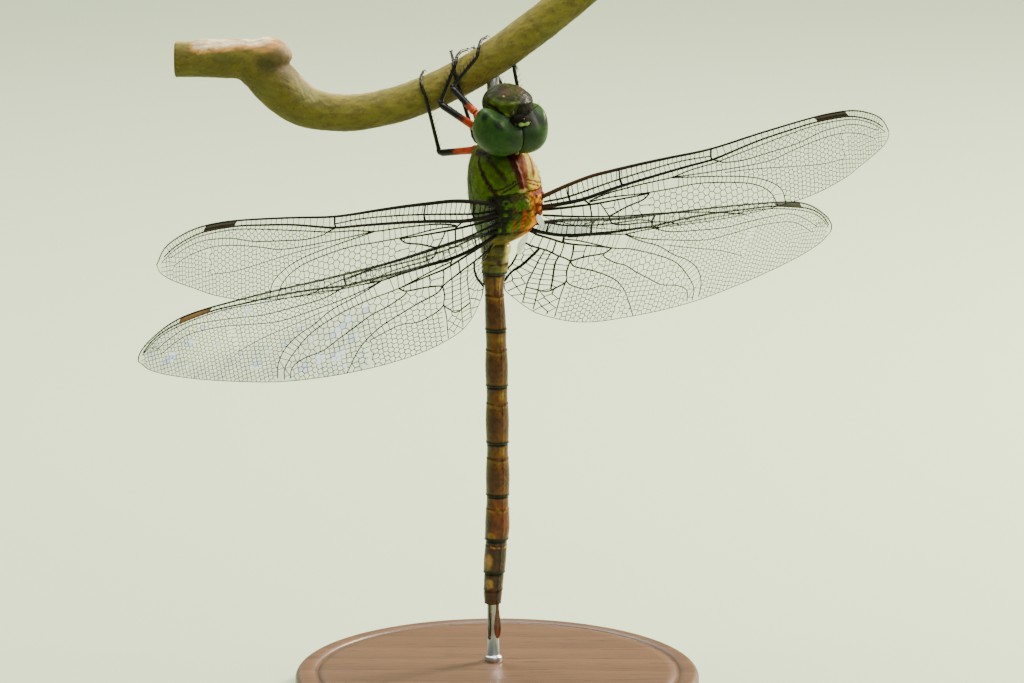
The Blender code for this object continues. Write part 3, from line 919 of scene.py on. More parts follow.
@dataclass
class Twig:
    """The cut length of branch, with its swollen node, its leaf scar and its sawn ends."""

    depth: float = 4.5
    axis: Sequence[Triple] = (
        (-39.3, 80.2, 2.2), (-36.2, 80.2, 2.2), (-33.2, 80.1, 2.25), (-30.8, 80, 2.4),
        (-28.9, 79, 2.7), (-27.3, 77.5, 2.9), (-25.6, 75.8, 2.8), (-23.8, 74.5, 2.6),
        (-21.3, 73.75, 2.35), (-18.2, 73.5, 2.25), (-14.9, 73.9, 2.2), (-11.8, 74.7, 2.2),
        (-8.8, 75.8, 2.2), (-5.1, 77.5, 2.2), (-2.7, 78.9, 2.2), (0.1, 80.7, 2.2),
        (2.8, 82.7, 2.2), (5.9, 85.1, 2.2), (8.9, 87.6, 2.2), (11.3, 89.6, 2.2))
    knob: Triple = (-28.3, 4.5, 80.4)
    knob_size: Triple = (3.35, 2.7, 2.55)
    sides: int = 96
    rings: int = 420
    saw_edge: float = 0.22

    def build(self) -> None:
        """Build the bark and the two sawn ends as one closed piece each."""
        line = catmull(self.axis, 12)
        gaps = np.hypot(*np.diff(line[:, :2], axis=0).T)
        self.along = np.concatenate([[0], np.cumsum(gaps)])
        self.line = line
        self.bark()
        self.sawn("twig_end_left", 0, -1)
        self.sawn("twig_end_right", self.along[-1], 1)

    def middle(self, along: Array) -> tuple[Array, Array, Array]:
        """The axis at a length along it: its x and z, its direction, and its radius."""
        def at(length: Array) -> Array:
            """The axis row at a length."""
            return np.stack([np.interp(length, self.along, column) for column in self.line.T])

        x, z, r = at(along)
        step = (at(np.clip(along + 0.4, 0, self.along[-1])) - at(np.clip(along - 0.4, 0,
            self.along[-1])))[:2]
        return np.stack([x, z], 1), (step / np.hypot(*step)).T, r

    def skin(self, along: Array, angle: Array, share: Array) -> Array:
        """Places on the bark.

        Args:
            along: Length along the axis.
            angle: Angle round it: 0 faces the camera and 90 degrees is up.
            share: Share of the radius, 1 at the bark.

        Returns:
            The places in the model's frame.
        """
        centre, way, radius = self.middle(along)
        ridge = 0.34 * hill(angle, 1.4, 0.75) * ease(2.2, 3.2, along) * ease(11, 9, along)
        for height, turns, waves, seed in ((0.03, 3, 0.55, 1.3), (0.02, 7, 1.3, 2.1), (0.02, 13, 3.1, 0.4)):
            ridge = ridge + height * ripple(angle * turns, along * waves, seed)
        size = (radius + ridge) * share
        side = np.sin(angle) * size
        points = np.stack([centre[:, 0] - way[:, 1] * side, self.depth - np.cos(angle) * size,
                           centre[:, 1] + way[:, 0] * side], 1)
        knob, reach = np.asarray(self.knob), np.asarray(self.knob_size)
        away = (points - knob) / reach
        inside = np.linalg.norm(away, axis=1)
        pushed = knob + away / np.maximum(inside, 1e-3)[:, None] * reach
        near = ease(1.25, 0.55, inside) * share * ease(-0.2, 0.5, np.sin(angle))
        return points + (pushed - points) * near[:, None]

    def bark(self) -> None:
        """Sweep the bark and paint its tones, its scars, a painted sunlit upper side with a bright highlight
        rim along the top, and painted shade on its underside.
        """
        end = self.along[-1]
        heights = [0, *np.linspace(0, end, self.rings), end]
        shares = [0] + [1] * self.rings + [0]
        form = Form.lathe([(s, h + 1e-3 * k) for k, (s, h) in enumerate(zip(shares, heights))], self.sides)
        x, y, z = form.points().T
        along = np.clip(z - 1e-3 * self.rings * z / (end + 1e-3 * self.rings), 0, end)
        angle = np.arctan2(y, x)
        near = 1 - np.clip(np.minimum(along, end - along) / self.saw_edge, 0, 1)
        rounding = np.sqrt(np.clip(1 - near ** 2, 0, 1))
        form.put(self.skin(along, angle, np.hypot(x, y) * (1 - 0.1 * (1 - rounding))))
        up = np.sin(angle)
        paint = Paint(np.degrees(angle), along, (0.14, 0.112, 0.012), 0.04)
        # Painted light: a lighter upper side, a peach highlight rim along the top and painted shade on the
        # underside, then a green ripple and a paler length past the node.
        for share, colour in ((0.5 * ease(0.3, 0.9, up), (0.17, 0.125, 0.02)),
                (0.8 * ease(0.93, 0.995, up), (0.6, 0.4, 0.2)), (0.6 * ease(0, 1, -up),
                (0.045, 0.04, 0.008)), (0.4 * ease(0.1, 0.7, ripple(angle * 2, along * 0.35, 2)),
                (0.1, 0.12, 0.02)), (0.75 * ease(14, 24, along) * ease(-0.9, 0, up), (0.21, 0.178, 0.025))):
            paint.lay(share, colour)
        self.scar(paint)
        form.finish("twig_bark", Bark(), Slot.TWIG, ["perch"], paint.colour)

    def scar(self, paint: Paint) -> None:
        """Paint the pale leaf scar on top of the swollen node and the pinkish wood beside it, with a painted
        pale highlight on the upper side past the node.
        """
        paint.line([(56, 3), (64, 5.6), (76, 9.4)], 2.3, (0.6, 0.28, 0.07), 0.4)
        paint.line([(64, 3.2), (72, 5.6), (84, 9.2)], 1.9, (0.95, 0.74, 0.44), 0.45)
        # The last spot, pale green-grey on the upper side past the node, is a painted highlight.
        for mark in (((62, 12.8), (36, 2.3), (0.14, 0.09, 0.05), 0.5, 0.85),
                     ((26, 10.8), (22, 1.3), (0.045, 0.04, 0.009), 0.5, 0.75),
                     ((40, 13.4), (13, 0.7), (0.05, 0.035, 0.02), 0.4, 0.75),
                     ((44, 17), (26, 3.2), (0.22, 0.22, 0.08), 0.6, 0.6)):
            paint.spot(*mark)

    def sawn(self, name: str, along: float, way: float) -> None:
        """Cap one end with clean pale wood, its growth rings and its pith."""
        centre, heading, radius = self.middle(np.array([along]))
        rim = float(radius[0]) * 0.86
        profile = [(r * rim, 0.05 + 0.03 * (1 - r)) for r in (0, 0.25, 0.5, 0.75, 0.9, 0.97)]
        form = Form.lathe(profile + [(rim, -0.12), (0, -0.12)], 64)
        x, y, z = form.points().T
        ax, az = heading[0] * way
        form.put(np.stack([centre[0, 0] + ax * z - az * x, self.depth + y, centre[0, 1] + az * z + ax * x],
            1)).seal()
        away = np.hypot(x, y)
        paint = Paint(away, away, (0.52, 0.41, 0.22), 1)
        paint.lay(0.5 * (0.5 + 0.5 * np.sin(away * 13)), (0.33, 0.23, 0.1))
        paint.lay(1 - ease(0.18, 0.32, away), (0.22, 0.13, 0.06))
        paint.lay(ease(rim - 0.25, rim - 0.1, away), (0.2, 0.22, 0.06))
        form.finish(name, Bark("twig_end_grain"), Slot.TWIG, (), paint.colour)


# ---- the head


@dataclass
class Head:
    """Eyes, face, vertex, mouthparts and feelers, in the head's own frame."""

    eye_centre: Triple = (1.63, -0.6, -0.15)
    eye_size: Triple = (3.05, 3.55, 2.75)
    eye_gap: float = 0.03
    face_centre: Triple = (0, 1.1, 2.45)
    face_size: Triple = (3.15, 3.05, 2.34)
    capsule_centre: Triple = (0, 0.3, -0.1)
    capsule_size: Triple = (3.3, 3.3, 2.75)
    mouth_centre: Triple = (0, 3, 1.75)
    mouth_size: Triple = (1.85, 1.75, 1.75)
    feeler_root: Triple = (1.25, -1.95, 3.35)
    feeler_tip: Triple = (1.75, -2.75, 5)
    black: Colour = (0.006, 0.005, 0.003)

    def build(self) -> None:
        """Build every part of the head."""
        self.capsule()
        for side in Side:
            self.eye(side)
            self.feeler(side)
        self.face()
        self.vertex()
        self.occiput()
        self.mouth()

    def globe(self, centre: Triple, size: Triple, sides: int, rings: int) -> tuple[Form, Array]:
        """An ellipsoid whose poles lie fore and aft, with each vertex's unit direction."""
        form = Form.ball((1, 1, 1), (0, 0, 0), sides, rings)
        unit = form.points()
        form.put(unit * np.asarray(size) + np.asarray(centre))
        return form, unit

    def eye(self, side: Side) -> None:
        """One eye: a smooth globe cut flat where it meets the other, with its painted bands and painted
        shade beside the vertex, broader on the right eye.
        """
        sign = side.value
        centre = (self.eye_centre[0] * sign, *self.eye_centre[1:])
        form, unit = self.globe(centre, self.eye_size, 96, 64)
        points = form.points()
        x, y, z = points.T
        z += ease(0.15, 0.85, unit[:, 0] * sign) * ease(0, 0.8, unit[:, 2])
        # Painted shade: the eye is darkened round a point beside the vertex, over a wider reach on the right
        # eye.
        dark, reach = ((-0.75, -2.3, 2.15), 0.7) if side is Side.LEFT else ((1.6, -1.95, 2.4), 1.35)
        shade = np.linalg.norm(points - dark, axis=1)
        z += 0.3 * hill(np.hypot(x * sign - 1.9, y + 0.2), 0, 1) * (unit[:, 2] > 0)
        y -= 0.26 * hill(x, 0, 0.8) * ease(0.2, -0.4, unit[:, 1]) * ease(-2.3, -1, z)
        x[x * sign < self.eye_gap] = self.eye_gap * sign
        turn = bearing(unit * (-sign, 1, 1))
        rise = rise_of(unit)
        paint = Paint(turn, rise / 20, (0.023, 0.068, 0.006), 0.05)
        for share, colour in ((0.75 * ease(-60, -115, turn), (0.042, 0.1, 0.007)),
                (0.7 * ease(-5, -75, rise), (0.05, 0.086, 0.007)), (0.8 * ease(-45, 10, turn) * ease(-60, 0,
                rise), (0.016, 0.034, 0.009)), (ease(62, 80, rise), (0.006, 0.012, 0.006)),
                (0.95 * ease(reach + 0.4, reach - 0.4, shade), (0.003, 0.004, 0.003))):
            paint.lay(share, colour)
        for place, size in (((-90, 1.72), (11, 0.4)), ((-42, 1.95), (16, 0.42)), ((-118, 1.4), (6, 0.18))):
            paint.spot(place, size, (0.002, 0.005, 0.002), 0.5, 0.95)
        paint.line([(-150, 0.5), (-120, -1.2), (-75, -2.4), (-30, -3.3)], 0.35, (0.16, 0.2, 0.03), 0.4, 0.7)
        paint.lay(ease(-125, -165, turn) * 0.7, (0.2, 0.24, 0.06))
        form.put(HEAD.world(points)).seal()
        form.finish(f"compound_eye_{side.word}", EyeGlass(), Slot.EYE, [f"eye_{side.word}"], paint.colour)

    def capsule(self) -> None:
        """The back of the head, dark with a pale fringe line behind each eye."""
        form, unit = self.globe(self.capsule_centre, self.capsule_size, 72, 48)
        points = form.points()
        points[:, 2] += 0.35 * hill(np.hypot(unit[:, 0] * 1.4, unit[:, 1] + 0.1), 0, 0.5) * (unit[:, 2] < 0)
        paint = Paint(bearing(unit), points[:, 2], (0.02, 0.022, 0.006), 0.05)
        paint.band(-2.4, -1.9, (0.12, 0.12, 0.03))
        form.put(HEAD.world(points))
        form.finish("head_capsule", Cuticle("head_cuticle"), Slot.HEAD, ["head"], paint.colour)

    def face(self) -> None:
        """The swollen frons with its cross ridge, and the clypeus in two steps below it."""
        form, unit = self.globe(self.face_centre, self.face_size, 128, 96)
        x, y, z = unit.T
        turn, rise = bearing(unit), rise_of(unit)
        swell = 0.12 * hill(rise, 27 + 12 * np.cos(np.radians(turn)) ** 2, 7) * (np.abs(turn) < 100)
        front = ease(-0.2, 0.2, z)
        swell = swell - (0.16 * hill(y, 0.46, 0.05) + 0.1 * hill(y, 0.72, 0.04)) * front
        swell = swell - 0.025 * hill(x, 0, 0.07) * ease(0.1, 0.6, z) * (y < 0.4) + 0.02 * ripple(x * 14,
            y * 14, 0.5)
        form.put(HEAD.world(unit * (np.asarray(self.face_size) + swell[:, None]) + self.face_centre))
        form.finish("frons_and_clypeus", Cuticle("face_cuticle", 0.55, 0.02, 0.1, 0.02, 0.35, 0.07),
            Slot.FACE, ["face"], self.face_paint(turn, rise, unit).colour)

    def face_paint(self, turn: Array, rise: Array, unit: Array) -> Paint:
        """The face's tones: olive top, dark seams, a bright lower edge and pale cheeks, with painted shade
        over the right front and a small painted highlight on the left.
        """
        lime, black, seam = (0.1, 0.14, 0.008), self.black, ease(-0.1, 0.2, unit[:, 2])
        paint = Paint(turn, rise / 20, (0.036, 0.055, 0.004), 0.05)
        paint.lay(0.85 * ease(28, 55, rise), (0.02, 0.02, 0.003))
        for side in (-70, 70):
            paint.spot((side, 3.5), (34, 0.75), (0.05, 0.018, 0.005), 0.5, 0.55)
        # Painted highlight: a small pinkish-white spot high on the left of the dome.
        paint.spot((-57, 2.75), (4, 0.1), (0.3, 0.22, 0.13), 0.5)
        paint.line([(-110, 1), (-70, 1.2), (-45, 1.65), (-20, 2.1), (10, 2.3)], 0.16, lime, 0.25, 0.6)
        for half, width, colour, edge in (([(100, 0.55), (80, 0.75), (62, 0.85), (45, 0.5), (30, -0.1),
                (12, -0.7), (0, -0.85)], 0.4, black, 0.2), ([(34, 0.5), (22, 0), (10, -0.3), (0, -0.35)],
                0.3, lime, 0.25)):
            paint.line([(-a, b) for a, b in half] + half[-2::-1], width, colour, edge)
        paint.lay(0.8 * ease(-76, -92, turn) * (turn > -150), (0.012, 0.013, 0.003))
        # Painted shade: the front of the face is laid black to the right of the middle, below a line that
        # rises towards the right.
        front = np.interp(turn, [-12, 0, 20, 60, 90, 130], [1, 2.1, 3, 3.2, 2.8, 1.2])
        paint.lay(0.93 * ease(front + 0.4, front - 0.4, rise / 20) * ease(-14, -8, turn) * (turn < 150),
            black)
        paint.lay(ease(0.42, 0.5, unit[:, 1]) * ease(0, 0.3, unit[:, 2]), (0.03, 0.034, 0.005))
        paint.lay(hill(unit[:, 1], 0.46, 0.035) * seam, (0.02, 0.014, 0.006))
        paint.lay(hill(unit[:, 1], 0.72, 0.03) * seam, (0.03, 0.02, 0.01))
        return paint

    def vertex(self) -> None:
        """The black boss between the eyes and the face, its two pale lobes and three ocelli."""
        form = Form.ball((1.7, 0.92, 1.2), (0, -2.15, 1.8), 64, 44)
        points = form.points()
        x, y, z = points.T
        lobes = sum(hill(np.hypot(x - middle, (z - 2.18) * 1.5), 0, 0.42) for middle in (-0.35, 0.55))
        y -= 0.2 * lobes * (y < -2)
        paint = Paint(x, z, self.black, 1)
        paint.lay(ease(0.4, 0.7, lobes) * (y < -2.3), (0.17, 0.28, 0.07))
        form.put(HEAD.world(points))
        form.finish("vertex_boss", Cuticle("vertex_cuticle", 0.7, 0, 0.1, 0.006, 0.2, 0.03), Slot.HEAD, (),
                    paint.colour)
        for name, place in (("middle", (0, -2.78, 2.7)), ("left", (-1, -2.85, 2.15)),
                ("right", (1, -2.85, 2.15))):
            bead = Form.ball((0.16, 0.16, 0.16), place, 20, 14)
            local = bead.points()
            bead.put(HEAD.world(local))
            bead.finish(f"ocellus_{name}", EyeGlass("ocellus_glass", 0.4), Slot.HEAD, (),
                        plain((0.025, 0.018, 0.007), local))

    def occiput(self) -> None:
        """The small pale triangle where the eyes part at the back."""
        form = Form.ball((0.26, 0.35, 0.45), (0, -2.95, -1.8), 28, 20)
        points = form.points()
        points[:, 0] *= 0.35 + 0.65 * ease(0.6, -0.6, points[:, 2] + 1.8)
        form.put(HEAD.world(points))
        form.finish("occipital_triangle", Cuticle("occiput_cuticle", 0.3, 0.4, 0.08), Slot.HEAD, (),
                    plain((0.06, 0.06, 0.012), points))

    def mouth(self) -> None:
        """The labrum, the two jaws and the broad lower lip, in one closed head of parts."""
        form, unit = self.globe(self.mouth_centre, self.mouth_size, 96, 64)
        x, y, z = unit.T
        front = ease(0, 0.5, z)
        lip = hill(y, 0.35, 0.05) * front
        split = hill(x, 0, 0.045) * ease(0.45, 0.7, y) * front
        jaws = hill(np.abs(x), 0.7, 0.06) * ease(-0.3, 0.2, y) * front
        paint = Paint(bearing(unit), y, (0.07, 0.075, 0.015), 0.05)
        paint.lay(ease(0.3, 0.5, y), (0.09, 0.05, 0.015))
        paint.lay(np.clip(lip + split + jaws, 0, 1) * 0.9, (0.02, 0.012, 0.006))
        form.put(HEAD.world(form.points() - unit * (0.16 * lip + 0.1 * split + 0.12 * jaws)[:, None]))
        form.finish("labrum_and_jaws", Cuticle("mouth_cuticle", 0.36, 0.1), Slot.FACE, ["mouthparts"],
                    paint.colour)

    def feeler(self, side: Side) -> None:
        """One short feeler: two stout joints and a fine bristle."""
        sign = np.array([side.value, 1, 1])
        root, tip = self.feeler_root * sign, self.feeler_tip * sign
        way, bow = tip - root, np.array([0.15 * side.value, -0.25, 0.1])
        line = catmull([root - way * 0.12, root + way * 0.25 + bow * 0.6, root + way * 0.6 + bow, tip], 10)
        radius = np.interp(np.linspace(0, 1, len(line)), [0, 0.12, 0.16, 0.24, 0.28, 1],
                           [0.22, 0.24, 0.15, 0.15, 0.06, 0.02])
        form = Form.tubes([np.column_stack([HEAD.world(line), radius])], 2)
        form.finish(f"feeler_{side.word}", Bristle("feeler_black", self.black, (0.04, 0.025, 0.012), 0.3),
                    Slot.LEG_BLACK, [f"antenna_{side.word}"])


# ---- the thorax


@dataclass
class Thorax:
    """The winged trunk and the small collar before it, with its stripes, seams and down."""

    sections: Sequence[tuple[float, ...]] = (
        (-6, 2, -0.1, 3.9, -0.6), (-5.2, 2.8, 1.5, 4.4, -0.4), (-4, 3.55, 3.3, 4.8, -0.15),
        (-2.4, 4.1, 4.3, 5.1, 0), (-0.4, 4.4, 4.6, 5.3, 0), (1.6, 4.4, 4.4, 5.4, 0),
        (3.4, 4.1, 3.7, 5.3, 0), (4.8, 3.5, 2.6, 5, 0), (5.8, 2.7, 1.3, 4.6, 0),
        (6.3, 1.7, 0.2, 3.9, 0), (6.5, 1.6, 0.25, 3.6, 0), (6.9, 1.8, 0.5, 3.7, 0),
        (7.4, 1.7, 0.5, 3.5, 0), (7.9, 1.1, 0.1, 2.8, 0))
    rings: int = 210
    sides: int = 220
    middle: float = 3
    degree: float = 0.075
    hollow: float = 0.45
    hairs: int = 1700
    green: Colour = (0.06, 0.104, 0.003)
    leaf: Colour = (0.07, 0.12, 0.006)
    pale: Colour = (0.042, 0.064, 0.003)
    bark: Colour = (0.018, 0.01, 0.004)
    soot: Colour = (0.022, 0.012, 0.005)
    sunlit_red: Colour = (0.2, 0.018, 0.002)

    def build(self) -> None:
        """Build the skin and the down on it."""
        self.skin()
        self.down()

    def place(self, around: Array, along: Array, share: Array, lift: Array) -> Array:
        """Places on the trunk.

        Args:
            around: Angle round the trunk: 0 is the middle of the back, negative is the insect's left.
            along: Height in the trunk's own frame.
            share: Share of the section's size.
            lift: How far the place stands off the section.

        Returns:
            The places in the model's frame.
        """
        rows = np.asarray(self.sections)
        half, back, breast, shift = (np.interp(along, rows[:, 0], rows[:, k]) for k in range(1, 5))
        box = 1 + 0.05 * np.sin(2 * around) ** 2
        tall = (breast + back) / 2
        lift = lift - self.hollow * hill(np.degrees(around), -118, 34)
        x = shift + np.sin(around) * (half * box * share + lift)
        y = (breast - back) / 2 - np.cos(around) * (tall * box * share + lift)
        return THORAX.world(np.stack([x, y, along], 1))

    def skin(self) -> None:
        """The trunk's skin, with its keel, seams, wing sockets and markings."""
        low, high = self.sections[0][0], self.sections[-1][0]
        profile = [(0, low - 1e-3), *((1, h) for h in np.linspace(low, high, self.rings)), (0, high + 1e-3)]
        form = Form.lathe(profile, self.sides)
        x, y, z = form.points().T
        around = np.arctan2(x, -y)
        mirrored = -np.abs((np.degrees(around) - self.middle + 180) % 360 - 180)
        paint = Paint(mirrored, np.clip(z, low, high), self.green, self.degree)
        lift = self.relief(paint)
        self.mark(paint, np.degrees(around))
        form.put(self.place(around, paint.along, np.hypot(x, y), lift))
        form.finish("thorax_skin", Cuticle("thorax_cuticle", 0.58, 0, 0.12, 0.02, 0.35, 0.08), Slot.THORAX,
                    ["thorax", "prothorax"], paint.colour)

    def relief(self, paint: Paint) -> Array:
        """How far each place stands off the plain trunk, in millimetres."""
        along, around = paint.along, paint.around
        lift = 0.2 * hill(around, 0, 2.6) * ease(1.1, 1.6, along) * ease(5.6, 4.8, along)
        for seam in self.seams():
            lift = lift - 0.09 * hill(paint.away(seam), 0, 0.13)
        lift = lift - 0.28 * hill(along, 0.95, 0.28) * ease(-62, -30, around)
        lift = lift + 0.22 * hill(paint.away([(-30, 0.1), (-29, 0.1)]), 0, 0.55)
        for turn, height, tall, size in (
                (-33, -1.3, 0.2, 0.35), (-31, -0.5, 0.16, 0.25), (0, -0.3, 0.3, 0.8), (-12, -1.7, 0.18, 0.4),
                (-26, -3, 0.22, 0.6), (-12, -3, 0.25, 0.6), (-50, -3.3, 0.15, 0.3), (-42, -3.4, 0.15, 0.3),
                (-57, -4, 0.12, 0.3), (-48, -4.8, 0.16, 0.4), (-45, 0.2, 0.2, 0.5), (-47, -1.6, 0.2, 0.6),
                (0, -4.3, 0.2, 0.7), (-56, -2.4, 0.12, 0.5)):
            lift = lift + 1.1 * tall * ease(size, 0.35 * size, paint.away([(turn, height),
                (turn + 0.5, height)]))
        groove = hill(along, -2.35, 0.12) * 0.14 + hill(along, -3.95, 0.12) * 0.12
        lift = lift - groove * ease(-60, -40, around) - 0.25 * hill(along, 6.42, 0.16)
        hub = ease(-70, -55, around) * ease(1.3, 0.8, along) * ease(-5.4, -4.6, along)
        lift = lift + 0.1 * hub * ripple(around * 0.42, along * 5.2, 0.3)
        return lift + 0.03 * ripple(around * 0.2, along * 2.6, 0.9)

    def seams(self) -> list[list[Pair]]:
        """The seams between the side plates, and the ones along the belly."""
        return [[(-78, 5.4), (-73, 4.4), (-66, 3.8), (-58, 2.8), (-51, 2), (-44, 1)],
                [(-118, 4.6), (-104, 2.4), (-92, 0.2), (-84, -1)],
                [(-140, 3), (-124, 0.6), (-108, -1.8), (-96, -3.2)],
                [(-160, 5.4), (-150, 2), (-150, -2), (-120, -4.8)],
                [(-96, -0.4), (-80, -2.4), (-74, -4.6)]]

    def mark(self, paint: Paint, turn: Array) -> None:
        """Lay the stripes and spots, then paint sunlight on the insect's right side as warmer, brighter
        copies of its colours.
        """
        dark, along, around = self.bark, paint.along, paint.around
        paint.lay(ease(-92, -104, around), self.pale)
        paint.lay(0.8 * ease(-150, -165, around), (0.1, 0.085, 0.02))
        paint.band(0.9, 5.2, self.leaf, -72, -44, 0.3, 0.6)
        for seam in self.seams()[1:3]:
            paint.line(seam, 0.22, (0.035, 0.03, 0.008), 0.25, 0.85)
        paint.spot((-91, 3.2), (5, 0.42), (0.07, 0.04, 0.01), 0.4, 0.85)
        paint.line([(-58, 5.7), (-52, 5.2), (-45, 4.6), (-37, 4), (-32, 3.5), (-27, 2.9)], 0.62, dark, 0.4,
            0.85)
        paint.line([(-80, 5.7), (-76, 5), (-73, 4.4), (-66, 3.8), (-58, 2.8), (-51, 2), (-45, 1.2),
            (-43, 0.7)], 0.56, self.soot, 0.2)
        paint.line([(-100, 5.5), (-80, 5.6), (-62, 5.9)], 0.8, self.soot, 0.3)
        width = np.interp(along, [1, 2, 3, 4.5, 6], [6, 7.5, 9.5, 11.5, 13])
        shoulders = ease(1, 1.3, along) * ease(6.4, 6, along)
        paint.lay(ease(1.5, -1.5, -around - width) * shoulders, (0.06, 0.012, 0.005))
        # Painted light: on the right side only the shoulder band is laid red, the sunlit copy of the dark
        # band on both sides.
        edge = np.interp(along, [1, 2.4, 3.6, 5.2], [12, 14, 22, 34])
        paint.lay(0.95 * ease(3, 4.5, turn) * ease(edge + 2.5, edge - 2.5, turn) * shoulders,
            (0.1, 0.009, 0.001))
        paint.line([(0, 5.2), (0, 1.3)], 0.06, (0.13, 0.07, 0.012), 0.1, 0.9)
        paint.spot((0, 1.35), (8, 0.28), (0.3, 0.2, 0.07), 0.35)
        for stripe in ([(-43, 1.7), (-30, 2), (-20, 2.3), (-7, 2.7)], [(-36, 1.35), (-20, 1.9), (-5, 2.35)],
                       [(-46, 0.95), (-24, 1.05), (-10, 1.15)]):
            paint.line(stripe, 0.2, dark, 0.14)
        self.sockets(paint)
        paint.lay(ease(-3.9, -4.7, along), (0.085, 0.07, 0.01))
        # Painted sunlight on the right side: warmer, brighter copies of the colours, stronger at the wing
        # hinge, with the dark stripes turned sunlit red.
        warm = paint.colour @ np.array([[1.6, 0.1, 0], [4.6, 3.7, 0.35], [0, 0, 0.8]])
        sunlit_hinge = paint.colour @ np.array([[3, 0.4, 0], [7.5, 2.6, 0.02], [0, 0, 0.3]])
        warm = blend(warm, sunlit_hinge, ease(1.3, 0.9, along))
        warm = blend(warm, self.sunlit_red, ease(0.05, 0.015, paint.colour.max(1)))
        paint.colour = blend(paint.colour, warm, 0.8 * ease(4, 26, turn) * ease(150, 110, turn))

    def sockets(self, paint: Paint) -> None:
        """Lay the black wing sockets, the green knobs in them and the plates of the back."""
        dark, leaf, along, around = self.bark, (0.045, 0.095, 0.006), paint.along, paint.around
        hub = ease(-66, -52, around) * ease(-15, -24, around) * ease(-5.4, -4.8, along) * ease(1.15, 0.8,
            along)
        paint.lay(hub, (0.012, 0.014, 0.006))
        middle = ease(-24, -18, around) * ease(-5.6, -5, along) * ease(0.95, 0.7, along)
        paint.lay(0.9 * middle, (0.05, 0.03, 0.01))
        paint.spot((-30, 0.08), (6.2, 0.42), leaf, 0.2)
        paint.spot((-30, 0.1), (3.2, 0.2), dark, 0.3)
        for turn, height, wide, tall in (
                (-31, -0.47, 3.4, 0.16), (-33, -1.32, 4, 0.24), (-24, -0.15, 3.4, 0.3), (-8, -0.3, 8, 0.8),
                (-12, -1.68, 6.5, 0.3), (-50, -3.3, 3.4, 0.3), (-42, -3.45, 3.6, 0.32), (-57, -4, 3.4, 0.34),
                (-48, -4.9, 6, 0.5)):
            paint.spot((turn, height), (wide, tall), leaf, 0.25)
        paint.spot((-24, -3), (6.5, 0.85), (0.06, 0.1, 0.008), 0.25)
        paint.spot((-10, -3), (6.5, 0.75), (0.075, 0.1, 0.008), 0.25)
        paint.line([(-17.5, -2.3), (-17, -3), (-18, -3.6)], 0.22, (0.3, 0.06, 0.012), 0.2)
        paint.line([(-1, -1.2), (-2, -2.4), (-1, -3.6)], 0.5, (0.3, 0.06, 0.005), 0.35, 0.8)
        paint.line([(-16, -1.1), (-9, -1.25), (-2, -1.1)], 0.16, dark, 0.14)

    def down(self) -> None:
        """Short pale hairs over the back, the sides and the collar, leaning towards the tail."""
        draw = np.random.default_rng(7)
        around = radians(self.middle) + draw.uniform(-pi, pi, self.hairs)
        along = draw.uniform(-5.2, 6.2, self.hairs)
        turn = np.degrees(around)
        bare = (np.abs(turn - self.middle) < 62) & (along < 1.2) | (np.abs(turn - 12) < 16) & (along < 5)
        keep = ~bare | (draw.uniform(0, 1, self.hairs) < 0.18)
        around, along = around[keep], along[keep]
        count = len(around)
        length = (draw.uniform(0.2, 0.5, count) * np.where(along > 4.6, 1.25, 1))[:, None]
        one = np.ones(count)
        root = self.place(around, along, one, -0.05 * one)
        out = self.place(around, along, one, one) - root
        out = out / np.linalg.norm(out, axis=1)[:, None]
        lean = np.stack([draw.uniform(-0.35, 0.35, count), draw.uniform(-0.2, 0.2, count),
                         -draw.uniform(0.4, 1, count)], 1)
        middle = root + (out * 0.75 + lean * 0.2) * (length * 0.6)
        tip = root + (out * 0.9 + lean * 0.75) * (length * 0.9)
        form = Form.tubes([np.column_stack([hair, [0.011, 0.009, 0.003]]) for hair in np.stack([root, middle,
            tip], 1)])
        layer = form.bm.loops.layers.uv.new(BAKE_MAP)
        places = np.stack([around / tau + 0.5, (along + 6) / 13], 1)
        nearest = np.concatenate([np.argmin(((block[:, None] - middle[None]) ** 2).sum(2), 1)
                                  for block in np.array_split(form.points(), 40)])
        for face in form.bm.faces:
            home = places[nearest[face.verts[0].index]]
            for corner, loop in enumerate(face.loops):
                loop[layer].uv = home + 0.0015 * np.array([(-1) ** corner, (-1) ** (corner // 2)])
        form.finish("thorax_down", Bristle("pale_down", (0.24, 0.23, 0.1), (0.12, 0.12, 0.04), 0.7),
            Slot.THORAX)


# ---- the abdomen and the tail


@dataclass(frozen=True)
class Segment:
    """One ring of the abdomen: its lower edge, its radii from top to bottom, and its cross keel."""

    bottom: float
    top_radius: float
    mid_radius: float
    low_radius: float
    keel: float = 0


